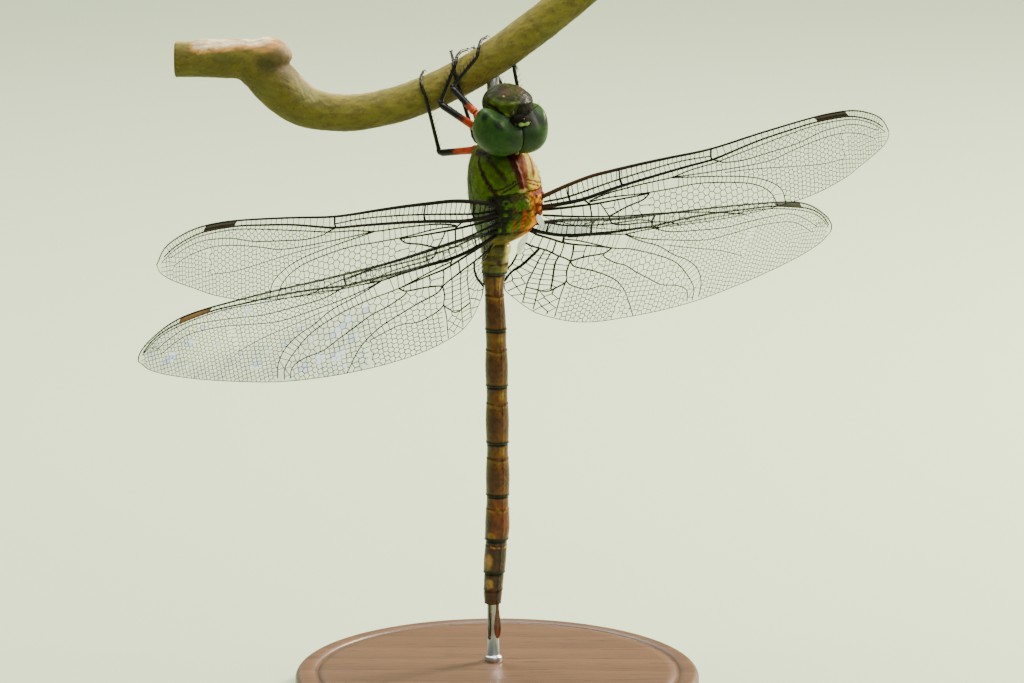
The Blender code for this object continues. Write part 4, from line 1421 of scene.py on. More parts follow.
@dataclass
class Abdomen:
    """Ten telescoped rings, the claspers and the plate between them."""

    top: float = 58.98
    depth: float = -3.95
    bend: Sequence[Pair] = ((60, 0), (57, -0.22), (54, -0.36), (48, -0.12), (41, 0), (30, 0.08),
                            (23.4, 0.04), (19, -0.28), (15, -0.52), (8, -0.62))
    segments: Sequence[Segment] = (Segment(57.9, 1.8, 1.85, 1.78), Segment(55.35, 1.72, 1.65, 1.45, 56.6),
        Segment(48.3, 1.36, 1.14, 1.28, 52.6), Segment(41.25, 1.27, 1.3, 1.33, 45.8),
        Segment(34.1, 1.31, 1.34, 1.36, 39.1), Segment(27.5, 1.33, 1.36, 1.4, 32.2),
        Segment(21.9, 1.37, 1.42, 1.4, 25.8), Segment(17.7, 1.35, 1.3, 1.24, 21.1),
        Segment(15.5, 1.22, 1.2, 1.16), Segment(13.8, 1.15, 1.1, 0.98))
    sides: int = 112
    pitch: float = 0.09
    cercus_length: float = 4.7
    cercus_half: float = 0.525
    cercus_apart: float = 0.55
    cercus_turn: float = 62
    black: Colour = (0.007, 0.005, 0.004)
    amber: Colour = (0.105, 0.032, 0.001)
    ochre: Colour = (0.2, 0.1, 0.003)
    brown: Colour = (0.035, 0.007, 0.001)
    olive: Colour = (0.06, 0.04, 0.002)

    def build(self) -> None:
        """Build the rings from the thorax down, then the tail."""
        top = self.top
        for number, segment in enumerate(self.segments, 1):
            self.ring(number, top, segment)
            top = segment.bottom
        for side in Side:
            self.cercus(side, top)
        self.plate(top)

    def place(self, around: Array, along: Array, radius: Array) -> Array:
        """Places on a ring, by angle from the middle of the back, height and radius."""
        turn = around + radians(BODY_YAW)
        return np.stack([read(self.bend, along) + radius * np.sin(turn), self.depth - radius * np.cos(turn),
            along], 1)

    def ring(self, number: int, top: float, segment: Segment) -> None:
        """One ring: a collar tucked into the ring before, the wall, and a rolled rim round the next."""
        bottom, tuck, keel = segment.bottom, 0.42, segment.keel
        heights = np.linspace(top - 0.03, bottom + 0.02, max(int((top - bottom) / self.pitch), 12))
        share = (top - heights) / (top - bottom)
        first, middle, last = segment.top_radius, segment.mid_radius, segment.low_radius
        wall = first * (1 - share) * (1 - 2 * share) + 4 * middle * share * (1 - share) + last * share * (2 *
            share - 1)
        wall = wall + 0.05 * hill(heights, bottom + 0.08, 0.16) - 0.06 * hill(heights, top - 0.05, 0.14)
        form = Form.lathe([(0, top + tuck), (first - 0.3, top + tuck), (first - 0.2, top + tuck * 0.5),
            (first - 0.14, top + 0.02), *zip(wall, heights), (last - 0.02, bottom - 0.03),
            (last - 0.12, bottom - 0.02), (last - 0.3, bottom + 0.15), (0, bottom + 0.15)], self.sides)
        x, y, along = form.points().T
        around, radius = np.arctan2(x, -y), np.hypot(x, y)
        degrees = np.degrees(around)
        turn = np.abs(degrees)
        lift = 0.07 * hill(degrees, 0, 5) * ease(bottom, bottom + 0.6, along) * ease(top, top - 0.5, along)
        if keel:
            lift = lift + 0.05 * hill(along + 0.25 * hill(degrees, 0, 12), keel, 0.09) * (turn < 125)
            lift = lift - 0.03 * hill(along, keel + 0.22, 0.12) * (turn < 125)
            lift = lift + 0.09 * hill(along, keel - 2.2, 1.7) - 0.05 * hill(along, keel + 0.9, 0.8)
        lift = lift - 0.12 * hill(turn, 136, 7) - 0.1 * ease(150, 172, turn)
        lift = lift + 0.012 * (hill(along, bottom + 0.06, 0.07) * np.cos(around * 44)
                               + ripple(degrees * 0.14, along * 4, 0.3))
        lift = lift * ((radius > last * 0.6) & (along < top) & (along > bottom))
        form.put(self.place(around, along, radius + lift))
        form.finish(f"abdomen_ring_{number}", Cuticle("abdomen_cuticle", 0.4, 0.12, 0.11, 0.012, 0.4),
            Slot.ABDOMEN if number < 8 else Slot.TAIL, [f"abdomen_s{number}"], self.mark(degrees,
            along).colour)

    def mark(self, degrees: Array, along: Array) -> Paint:
        """Lay the rings' colours, from the olive waist to the dark tail."""
        paint = Paint(degrees, along, self.amber, 0.023)
        turn = np.abs(degrees)
        paint.lay(ease(55.4, 55.7, along), (0.085, 0.07, 0.005))
        paint.lay(0.7 * ease(30, 75, turn) * ease(55.4, 55, along), self.olive)
        paint.lay(0.6 * ease(115, 140, turn), (0.1, 0.055, 0.006))
        self.waist(paint)
        for middle in (51.2, 44.2, 37.2, 30.2, 24.2):
            paint.spot((-48, middle - 0.8), (36, 1.5), self.brown, 0.5, 0.75)
            paint.spot((56, middle - 0.8), (34, 1.5), self.brown, 0.5, 0.75)
            paint.line([(0, middle + 0.9), (2, middle - 1.6)], 0.16, self.brown, 0.3, 0.8)
        for top, size in ((54.4, 1), (47.2, 0.75), (40.2, 0.65), (33.2, 0.65), (27, 0.3)):
            paint.spot((0, top), (17, size), self.ochre, 0.4, 0.85)
            paint.line([(-1, top + size), (-1, top - size)], 0.06, self.brown, 0.12, 0.7)
        for keel in (52.5, 45.6, 38.9, 32, 25.75):
            paint.line([(-95, keel + 0.24), (0, keel + 0.05), (95, keel + 0.24)], 0.14, self.brown, 0.12)
            paint.line([(-70, keel - 0.05), (-6, keel - 0.26)], 0.3, self.ochre, 0.3, 0.55)
            paint.line([(6, keel - 0.26), (70, keel - 0.05)], 0.3, self.ochre, 0.3, 0.55)
            paint.line([(0, keel - 0.3), (3, keel - 1.2)], 0.2, self.brown, 0.15)
        self.rear(paint)
        for ring in self.segments[1:8]:
            rim = along - ring.bottom
            paint.lay(ease(-0.26, -0.2, rim) * ease(0.34, 0.28, rim), (0.012, 0.014, 0.006))
        return paint

    def waist(self, paint: Paint) -> None:
        """The first two rings: olive with brown bands and a red flush on the right, with painted sunlight on
        their right side.
        """
        paint.band(57.25, 57.6, (0.05, 0.03, 0.008), -85, -8, 0.2)
        paint.spot((-13, 57), (9, 0.28), self.brown, 0.3)
        # Painted sunlight: pale yellow and pale tan bands over the right side of the first two rings.
        paint.band(56.8, 59.4, (0.62, 0.5, 0.16), 14, 75, 0.3, 0.85)
        paint.band(55.4, 56.3, (0.3, 0.2, 0.03), 18, 90, 0.3, 0.7)
        paint.spot((24, 56.6), (13, 0.3), (0.09, 0.016, 0.005), 0.4, 0.9)
        paint.line([(-55, 56.6), (0, 56.7), (55, 56.6)], 0.12, self.brown, 0.16)
        paint.line([(-30, 55), (-20, 54), (-24, 52.9)], 0.26, self.brown, 0.3, 0.85)
        paint.line([(30, 55), (22, 54), (24, 52.9)], 0.26, self.brown, 0.3, 0.85)

    def rear(self, paint: Paint) -> None:
        """Darken the rings towards the tail and lay their ochre flanks."""
        reddish = ease(28.2, 26.6, paint.along)
        paint.lay(0.75 * reddish * ease(75, 30, np.abs(paint.around)), (0.13, 0.025, 0.003))
        paint.lay(0.85 * ease(22.4, 21.6, paint.along), (0.04, 0.016, 0.006))
        for turn in (-1, 1):
            paint.spot((turn * 58, 22.55), (26, 0.4), self.ochre, 0.35, 0.8)
            paint.line([(turn * 60, 21.15), (turn * 6, 21.05)], 0.16, (0.45, 0.16, 0.02), 0.14)
            paint.spot((turn * 70, 19.2), (30, 0.95), (0.3, 0.15, 0.03), 0.35, 0.85)
            paint.spot((turn * 56, 16.4), (26, 0.6), (0.3, 0.16, 0.03), 0.35, 0.85)
            paint.line([(turn * 34, 26.1), (turn * 8, 25.6)], 0.3, self.ochre, 0.2, 0.85)
        paint.line([(0, 21.6), (0, 13.9)], 0.34, self.black, 0.3, 0.8)

    def tail_place(self, points: Array, offset: Pair, turn: float, top: float) -> Array:
        """Carry a tail piece's own points to its root under the last ring."""
        def turned(x: Array, y: Array, degrees: float) -> tuple[Array, Array]:
            """Turn x and y by an angle."""
            angle = radians(degrees)
            return x * cos(angle) - y * sin(angle), x * sin(angle) + y * cos(angle)

        (x, y), (left, behind) = turned(*points.T[:2], turn), turned(*offset, BODY_YAW)
        return np.stack([float(read(self.bend, top)) + left + x, self.depth + behind + y,
            top + points[:, 2]], 1)

    def bud(self, sides: int, rings: int) -> tuple[Form, Array, Array, Array]:
        """An egg to shape, with each vertex's share of its length, its angle and its closing share."""
        form = Form.ball((1, 1, 0.5), (0, 0, 0.5), sides, rings)
        x, y, z = form.points().T
        ring = np.maximum(np.hypot(x, y), 1e-6)
        return form, np.clip(z, 0, 1), np.arctan2(y / ring, x / ring), np.clip(ring / 0.35, 0, 1) ** 0.5

    def cercus(self, side: Side, top: float) -> None:
        """One clasper: a narrow stalk that opens into a leaf blade with a midrib and a raised edge."""
        form, share, angle, closed = self.bud(40, 72)
        table = catmull([(0, 0.42), (0.2, 0.42), (0.45, 0.75), (0.68, 1), (0.87, 0.8), (0.97, 0.4),
            (1, 0.12)], 6)
        width = self.cercus_half * np.interp(share, *table.T) * closed
        thick = np.maximum(0.2 * (1 - 0.45 * share), 0.1) * closed
        across = np.cos(angle)
        rib = 0.07 * hill(across, 0, 0.22) * ease(0.2, 0.4, share) * closed
        dish = 0.05 * hill(np.abs(across), 0.55, 0.22) * ease(0.3, 0.5, share) * closed
        points = np.stack([width * across, (thick + rib - dish) * np.sin(angle),
                           -self.cercus_length * share + 0.02 * (share < 0.01)], 1)
        turn = BODY_YAW - side.value * self.cercus_turn
        form.put(self.tail_place(points, (self.cercus_apart * side.value, -0.2), turn, top + 0.1)).seal()
        # Painted light: the right clasper is laid red-brown, lighter towards its tip, as the sunlit copy of
        # the black left one.
        tone = self.black if side is Side.LEFT else (0.16, 0.035, 0.012)
        paint = Paint(np.degrees(angle), share * self.cercus_length, tone, 0.02)
        paint.lay(0.6 * hill(np.abs(across), 1, 0.12), (0.01, 0.006, 0.004))
        paint.lay(0.5 * ease(0.5, 0.9, share) * (side is Side.RIGHT), (0.28, 0.075, 0.03))
        form.finish(f"clasper_{side.word}", Cuticle("clasper_cuticle", 0.28, 0.6, 0.1, 0.008, 0.25),
            Slot.TAIL, [f"cercus_{side.word}"], paint.colour)

    def plate(self, top: float) -> None:
        """The pale lower plate between the claspers, hollowed along its outer face."""
        form, share, angle, closed = self.bud(32, 48)
        width = np.interp(share, [0, 0.5, 0.85, 1], [0.36, 0.34, 0.24, 0.12]) * closed
        points = np.stack([width * np.cos(angle), 0.6 * width * np.sin(angle), -2.9 * share], 1)
        form.put(self.tail_place(points, (0, 0.62), BODY_YAW, top + 0.1)).seal()
        form.finish("tail_plate", Cuticle("plate_cuticle", 0.4, 0.3), Slot.TAIL, ["epiproct"],
                    plain((0.3, 0.2, 0.09), points))


# ---- the legs


@dataclass(frozen=True)
class LegPlan:
    """Where a leg's joints are, and where its foot holds the twig, as (x, degrees round it, lift)."""

    name: str
    coxa: Triple
    trochanter: Triple
    knee: Triple
    ankle: Triple
    toes: tuple[Triple, Triple, Triple]


LEG_PLANS = (
    LegPlan("fore_left", (-1.6, -2.6, 72.4), (-2.5, -1.5, 74.6), (-5.5, 0.7, 77.4), (-1.56, 31, 0.9),
            ((-0.95, 50, 0.85), (-0.45, 72, 0.7), (0, 99, 0.4))),
    LegPlan("mid_left", (-1.8, -2.1, 70.4), (-2.1, -1.3, 72.5), (-6.95, 0.7, 75.4), (-3.9, 40, 1.3),
            ((-3.5, 57, 1.1), (-2.95, 80, 0.7), (-2.4, 99, 0.4))),
    LegPlan("hind_left", (-1.8, -1.7, 68.2), (-2.5, -1.4, 70.1), (-7, 1.6, 69.1), (-8.6, 6, 0.45),
            ((-8.55, 35, 0.4), (-8.3, 65, 0.4), (-7.95, 98, 0.38))),
    LegPlan("fore_right", (0.2, -1.6, 72.6), (0.1, -0.5, 74.6), (3, 2.2, 74.6), (0.8, -50, 0.5),
            ((0.8, -80, 0.45), (0.7, -115, 0.4), (0.6, -150, 0.38))),
    LegPlan("mid_right", (-0.4, -1.4, 70.6), (-0.5, -0.6, 72.3), (1.7, 6, 74.3), (-1.2, 205, 0.6),
            ((-1.4, 180, 0.45), (-1.6, 155, 0.4), (-1.7, 130, 0.38))),
    LegPlan("hind_right", (0, -1.5, 67.6), (0.2, -1.1, 69.4), (-2.75, 1.5, 71), (-4.6, 24, 0.35),
            ((-4.3, 50, 0.35), (-4.1, 80, 0.4), (-4, 100, 1))),
)


@dataclass
class Leg:
    """One leg: thigh, spined shin, and a jointed foot with two claws."""

    plan: LegPlan
    twig: Twig
    thigh_radii: tuple[float, ...] = (0.6, 0.57, 0.5, 0.48, 0.44, 0.44)
    shin_radius: float = 0.25
    foot_radius: float = 0.225
    spine: float = 0.7
    black: Colour = (0.008, 0.007, 0.006)
    red: Colour = (0.5, 0.055, 0.012)
    shell: Cuticle = Cuticle("leg_cuticle", 0.4, 0.1, 0.12, 0.008, 0.25)

    def hold(self, step: Triple) -> Array:
        """A place over the bark: x along the twig, degrees round it, and how far it stands off."""
        x, degrees, lift = step
        rows = np.asarray(self.twig.axis)
        k = int(np.clip(np.searchsorted(rows[:, 0], x) - 1, 0, len(rows) - 2))
        gap = rows[k + 1] - rows[k]
        share = (x - rows[k, 0]) / gap[0]
        way = unit_of(gap[:2])
        radius = rows[k, 2] + gap[2] * share + lift
        height = rows[k, 1] + gap[1] * share
        up = sin(radians(degrees)) * radius
        return np.array([x - way[1] * up, self.twig.depth - cos(radians(degrees)) * radius,
            height + way[0] * up])

    def build(self) -> None:
        """Build the thigh, the shin and the foot."""
        joints = [np.asarray(p) for p in (self.plan.coxa, self.plan.trochanter, self.plan.knee)]
        ankle = self.hold(self.plan.ankle)
        self.thigh(*joints)
        self.shin(joints[2], ankle)
        self.foot(ankle)

    def limb(self, points: Sequence[Array], radii: Sequence[float], steps: int) -> Array:
        """A smooth run through points, with its radius at each."""
        return catmull(np.column_stack([np.asarray(points), radii]), steps)

    def spines(self, start: Array, end: Array, radius: float, count: int, length: float) -> Form:
        """Two rows of stiff spines along a limb, leaning towards its far end."""
        way = unit_of(end - start)
        beside = unit_of(np.cross(way, (0, 0, 1)))
        across = np.cross(way, beside)
        runs = []
        for row in (-1, 1):
            out = unit_of(across * -0.9 + beside * row * 0.75)
            for k in range(count):
                root = start + (end - start) * ((k + 0.6 + 0.25 * row) / count) + out * radius * 0.7
                tip = root + (out * 0.8 + way * 0.62) * length * (0.75 + 0.35 * sin(pi * k / count))
                runs.append(np.column_stack([np.stack([root, (root + tip) / 2, tip]),
                    [0.045, 0.035, 0.006]]))
        return Form.tubes(runs)

    def thigh(self, coxa: Array, trochanter: Array, knee: Array) -> None:
        """The hip's two short joints and the thigh, red at the root and black at the knee."""
        way = knee - trochanter
        bend = trochanter + way * 0.12
        run = self.limb([coxa + (coxa - trochanter) * 0.25, coxa, trochanter, bend, trochanter + way * 0.5,
            knee], self.thigh_radii, 12)
        share = np.linspace(0, 1, len(run))
        run[:, 3] -= 0.1 * hill(share, 0.42, 0.025) + 0.07 * hill(share, 0.56, 0.02)
        run[:, 3] *= np.where(share > 0.97, np.sqrt(np.clip((1.02 - share) / 0.05, 0, 1)), 1)
        form = Form.tubes([run], 4).join(self.spines(bend, knee, 0.35, 7, 0.45))
        points = form.points()
        along = share[np.argmin(((points[:, None] - run[None, :, :3]) ** 2).sum(2), 1)]
        paint = Paint(along * 0, along, self.black, 1)
        limit = {"fore": 0.7, "mid": 0.76, "hind": 0.82}[self.plan.name.split("_")[0]]
        uneven = along + 0.03 * ripple(points[:, 0] * 3, points[:, 2] * 3)
        paint.lay(ease(limit + 0.06, limit - 0.08, uneven), self.red)
        paint.lay(0.8 * hill(along, 0.42, 0.02), (0.04, 0.012, 0.006))
        self.dress(form, "thigh", "femur", Slot.LEG_RED, paint.colour)

    def dress(self, form: Form, name: str, node: str, slot: Slot, colours: Array | None = None) -> None:
        """Finish one length of the leg, black unless it is painted."""
        form.finish(f"leg_{self.plan.name}_{name}", self.shell, slot, [f"leg_{self.plan.name}_{node}"],
                    plain(self.black, form.bm.verts) if colours is None else colours)

    def shin(self, knee: Array, ankle: Array) -> None:
        """The thin shin with a swollen knee end and its comb of spines."""
        points = [knee + (ankle - knee) * t for t in (-0.02, 0.04, 0.12, 0.5, 0.9, 1)]
        radii = [0.22, 0.34, self.shin_radius, self.shin_radius * 0.92, self.shin_radius * 0.9, 0.17]
        form = Form.tubes([self.limb(points, radii, 8)], 3)
        form.join(self.spines(knee, ankle, self.shin_radius, 8, self.spine))
        self.dress(form, "shin", "tibia", Slot.LEG_BLACK)

    def foot(self, ankle: Array) -> None:
        """Three foot joints laid round the bark, and two hooked claws that bite it."""
        toes = [self.hold(toe) for toe in self.plan.toes]
        line = catmull([ankle, *toes], 12)
        share = np.linspace(0, 1, len(line))
        radius = self.foot_radius * (1.05 - 0.35 * share)
        for joint in (0.02, 0.24, 0.52):
            radius = radius - 0.07 * hill(share, joint, 0.02)
        form = Form.tubes([np.column_stack([line, radius])], 3)
        tip, way = toes[-1], unit_of(toes[-1] - toes[-2])
        x, degrees, lift = self.plan.toes[-1]
        inward = unit_of(self.hold((x, degrees, -0.15)) - tip)
        hooks = []
        for row in (-1, 1):
            out = np.cross(way, inward) * row
            claw = [tip, tip + way * 0.25 + out * 0.14 - inward * 0.08,
                tip + way * 0.5 + out * 0.2 + inward * 0.08, tip + way * 0.56 + out * 0.2 + inward *
                min(lift, 0.45)]
            hooks.append(self.limb(claw, (0.1, 0.085, 0.06, 0.012), 5))
        form.join(Form.tubes(hooks, 1))
        self.dress(form, "foot", "tarsus", Slot.LEG_BLACK)


# ---- the wings


@dataclass(frozen=True)
class Vein:
    """A long vein: its course as (outward, forward) points, and its radius at both ends."""

    course: tuple[Pair, ...]
    root: float = 0.06
    tip: float = 0.045


@dataclass(frozen=True)
class Field:
    """A strip of cells between two edges.

    Each edge is a chain of veins or margins, one taking over where the last one ends. A turned
    field runs down the wing instead of along it."""

    upper: str
    lower: str
    start: float
    stop: float
    cell: Pair
    row: float = 0.6
    turned: bool = False


@dataclass(frozen=True)
class WingPlan:
    """One pair of wings: outline, veins, fields and the place and tilt of the root and tip."""

    kind: str
    root: Triple
    tip: Triple
    tilt: float
    lead: tuple[Pair, ...]
    trail: tuple[Pair, ...]
    nodus: float
    stigma: Pair
    veins: dict[str, Vein]
    fields: tuple[Field, ...]
    struts: tuple[tuple[Pair, Pair, float], ...]
    warp: tuple[Pair, ...]
    length: float = 47.3

    @property
    def hind(self) -> bool:
        """Whether it is the hind pair."""
        return self.kind == "hind"


FORE = WingPlan(
    kind="fore", root=(3.04, -3.66, 0), tip=(50.15, -7.09, 1.18), tilt=2, nodus=22.9, stigma=(36.5, 40.7),
    lead=((0, 0), (3.3, 0.9), (6.3, 1.45), (9.2, 1.65), (13.2, 1.85), (17, 1.95), (22.9, 2.1), (29.5, 2.95),
        (36.8, 3.7), (41.2, 3.65), (44.1, 2.95), (46.2, 1.8), (47.3, 0)),
    trail=((0.3, -2.6), (1.6, -3.3), (5, -4.7), (10, -5.9), (16, -6.6), (23, -7), (29, -6.9), (35, -6.25),
        (39.5, -4.95), (42.6, -3.5), (45.1, -2.3), (46.8, -1.1), (47.3, 0)),
    veins={
        "Sc": Vein(((0.3, -0.7), (3, -0.68), (7, -0.11), (11, 0.45), (15, 0.89), (19, 1.18), (22.8, 1.15)),
            0.075, 0.06),
        "R": Vein(((0, -1.2), (2, -1.25), (5, -1.19), (9, -0.6), (13, -0.11), (19, 0.45), (22.8, 0.74),
            (25, 1.18), (29, 2.06), (33, 2.63), (36.5, 3.03), (40.7, 3), (43, 2.5), (45, 1.7), (46.3, 0.8)),
            0.15, 0.07),
        "RP": Vein(((5.9, -1.65), (7, -1.35), (9, -1), (13, -0.75), (17.3, -0.62), (20, -0.1), (23.4, 0.25),
            (25, 0.56), (29, 1.32), (33, 2.1), (37, 2.66), (41, 2.58), (43, 2.15), (45, 1.3), (46.6, 0.2)),
            0.065, 0.05),
        "RP2": Vein(((23.7, 0.42), (24.6, 0.05), (27, -0.08), (30, 0.24), (34, 0.77), (37, 1.6), (39, 1.85),
            (41, 1.9), (43, 1.5), (45.4, 0.5)), 0.06, 0.045),
        "IR2": Vein(((17.4, -0.6), (21, -0.75), (25, -0.84), (30.2, -0.8), (33.3, -0.03), (37, 0.77),
            (40, 0.97), (43, 0.4), (45, -0.5)), 0.055, 0.045),
        "RP3": Vein(((17.4, -0.65), (20, -1), (24, -1.58), (28, -2.5), (30.4, -3.55), (31.7, -4.8),
            (32.1, -6.6)), 0.055, 0.05),
        "Rspl": Vein(((24.5, -1.2), (28, -1.45), (33, -2.05), (37, -2.45), (40, -2.3)), 0.045, 0.04),
        "MA": Vein(((6, -1.75), (9, -1.65), (13, -1.9), (17, -1.95), (21, -1.95), (25, -2.58), (28.2, -3.4),
            (30.2, -4.8), (31.1, -6.75)), 0.06, 0.05),
        "MCu": Vein(((0.1, -1.6), (3, -1.9), (6.3, -2.1), (10, -2.1), (13.9, -2.05)), 0.1, 0.06),
        "A1": Vein(((0, -2.3), (3, -3), (5, -3.4), (7, -3.75), (8.6, -4)), 0.08, 0.06),
        "MP": Vein(((8.6, -4), (10.5, -4.35), (16, -4.9), (22, -5.8), (27, -7)), 0.065, 0.05),
        "CuA": Vein(((8.6, -4), (9, -5), (10.5, -5.4), (13, -5.6), (16, -6), (18, -6.7)), 0.06, 0.045),
        "side": Vein(((8.6, -4), (9.5, -3.7), (11, -3.18), (13, -2.7), (13.9, -2.05)), 0.07, 0.07),
        "close": Vein(((40, 0.97), (39.8, 0.4), (40.15, -0.3), (39.85, -1), (40.15, -1.7), (40, -2.3)),
            0.035, 0.035),
    },
    fields=tuple(Field(*strip) for strip in (
        ("lead", "Sc", 0.6, 22.7, (0.7, 0.6), 9), ("Sc", "R", 0.6, 22.7, (0.8, 0.7), 9),
        ("lead", "R", 23.1, 36.5, (0.9, 0.6), 9), ("lead", "R", 40.8, 46.3, (0.42, 0.35), 9),
        ("R", "RP", 6.2, 46.3, (0.75, 0.55), 1.2), ("RP", "RP2", 24.4, 46.2, (0.5, 0.45), 0.62),
        ("RP", "IR2", 17.8, 23.8, (0.7, 0.6), 1.2), ("RP2", "IR2", 23.8, 45.2, (0.55, 0.48), 0.62),
        ("RP", "MA", 6.5, 17.3, (0.85, 0.8), 1.6), ("IR2", "Rspl", 24.8, 40, (0.6, 0.5), 0.62),
        ("Rspl IR2 RP", "RP3 trail", 24.8, 46.5, (0.62, 0.4), 0.56),
        ("IR2", "RP3", 18, 24.6, (0.65, 0.6), 0.8), ("RP3", "MA", 17.8, 31.3, (0.62, 0.5), 1.4),
        ("side", "MP", 9.2, 13.8, (0.95, 0.9), 0.95), ("MA", "MP trail", 14, 30.9, (0.85, 0.6), 0.85),
        ("MP", "CuA trail", 9.3, 27, (0.8, 0.6), 0.85), ("CuA", "trail", 9.2, 17.6, (0.75, 0.6), 0.6),
        ("A1", "trail", 0.8, 8.8, (1, 0.8), 0.85), ("MCu", "side", 9.4, 13.7, (0.85, 0.8), 1.6))),
    struts=(((22.9, 2.1), (22.85, 0.75), 0.11), ((22.85, 0.75), (24.1, 0.28), 0.075),
        ((5, -1.2), (6.1, -2.1), 0.1), ((3.3, 0.9), (3.35, -0.68), 0.09),
        ((3.35, -0.68), (3.4, -1.22), 0.09), ((10.2, 1.7), (10.3, 0.35), 0.09),
        ((10.3, 0.35), (10.35, -0.4), 0.09), ((7.4, -2.1), (8.6, -4), 0.075),
        ((7.9, -2.9), (9.2, -2.95), 0.05), ((9.2, -2.95), (9.5, -2.1), 0.05),
        ((9.2, -2.95), (9.6, -3.66), 0.05), ((2.3, -1.8), (2.3, -2.85), 0.05),
        ((3.6, -1.95), (3.6, -3.12), 0.05), ((5, -2.05), (5, -3.4), 0.055), ((6, -2.1), (6.1, -3.6), 0.09),
        ((7.1, -2.1), (7.1, -3.75), 0.05), ((1.2, -1.25), (1.2, -1.7), 0.05),
        ((3.9, -1.2), (3.9, -1.95), 0.05)),
    warp=((0, 0), (5, 5.4), (8.6, 8.8), (13.9, 14.3), (17.3, 17.4), (22.9, 22.9), (36.5, 37.3), (40.7, 41.6),
        (47.3, 47.3)),
)

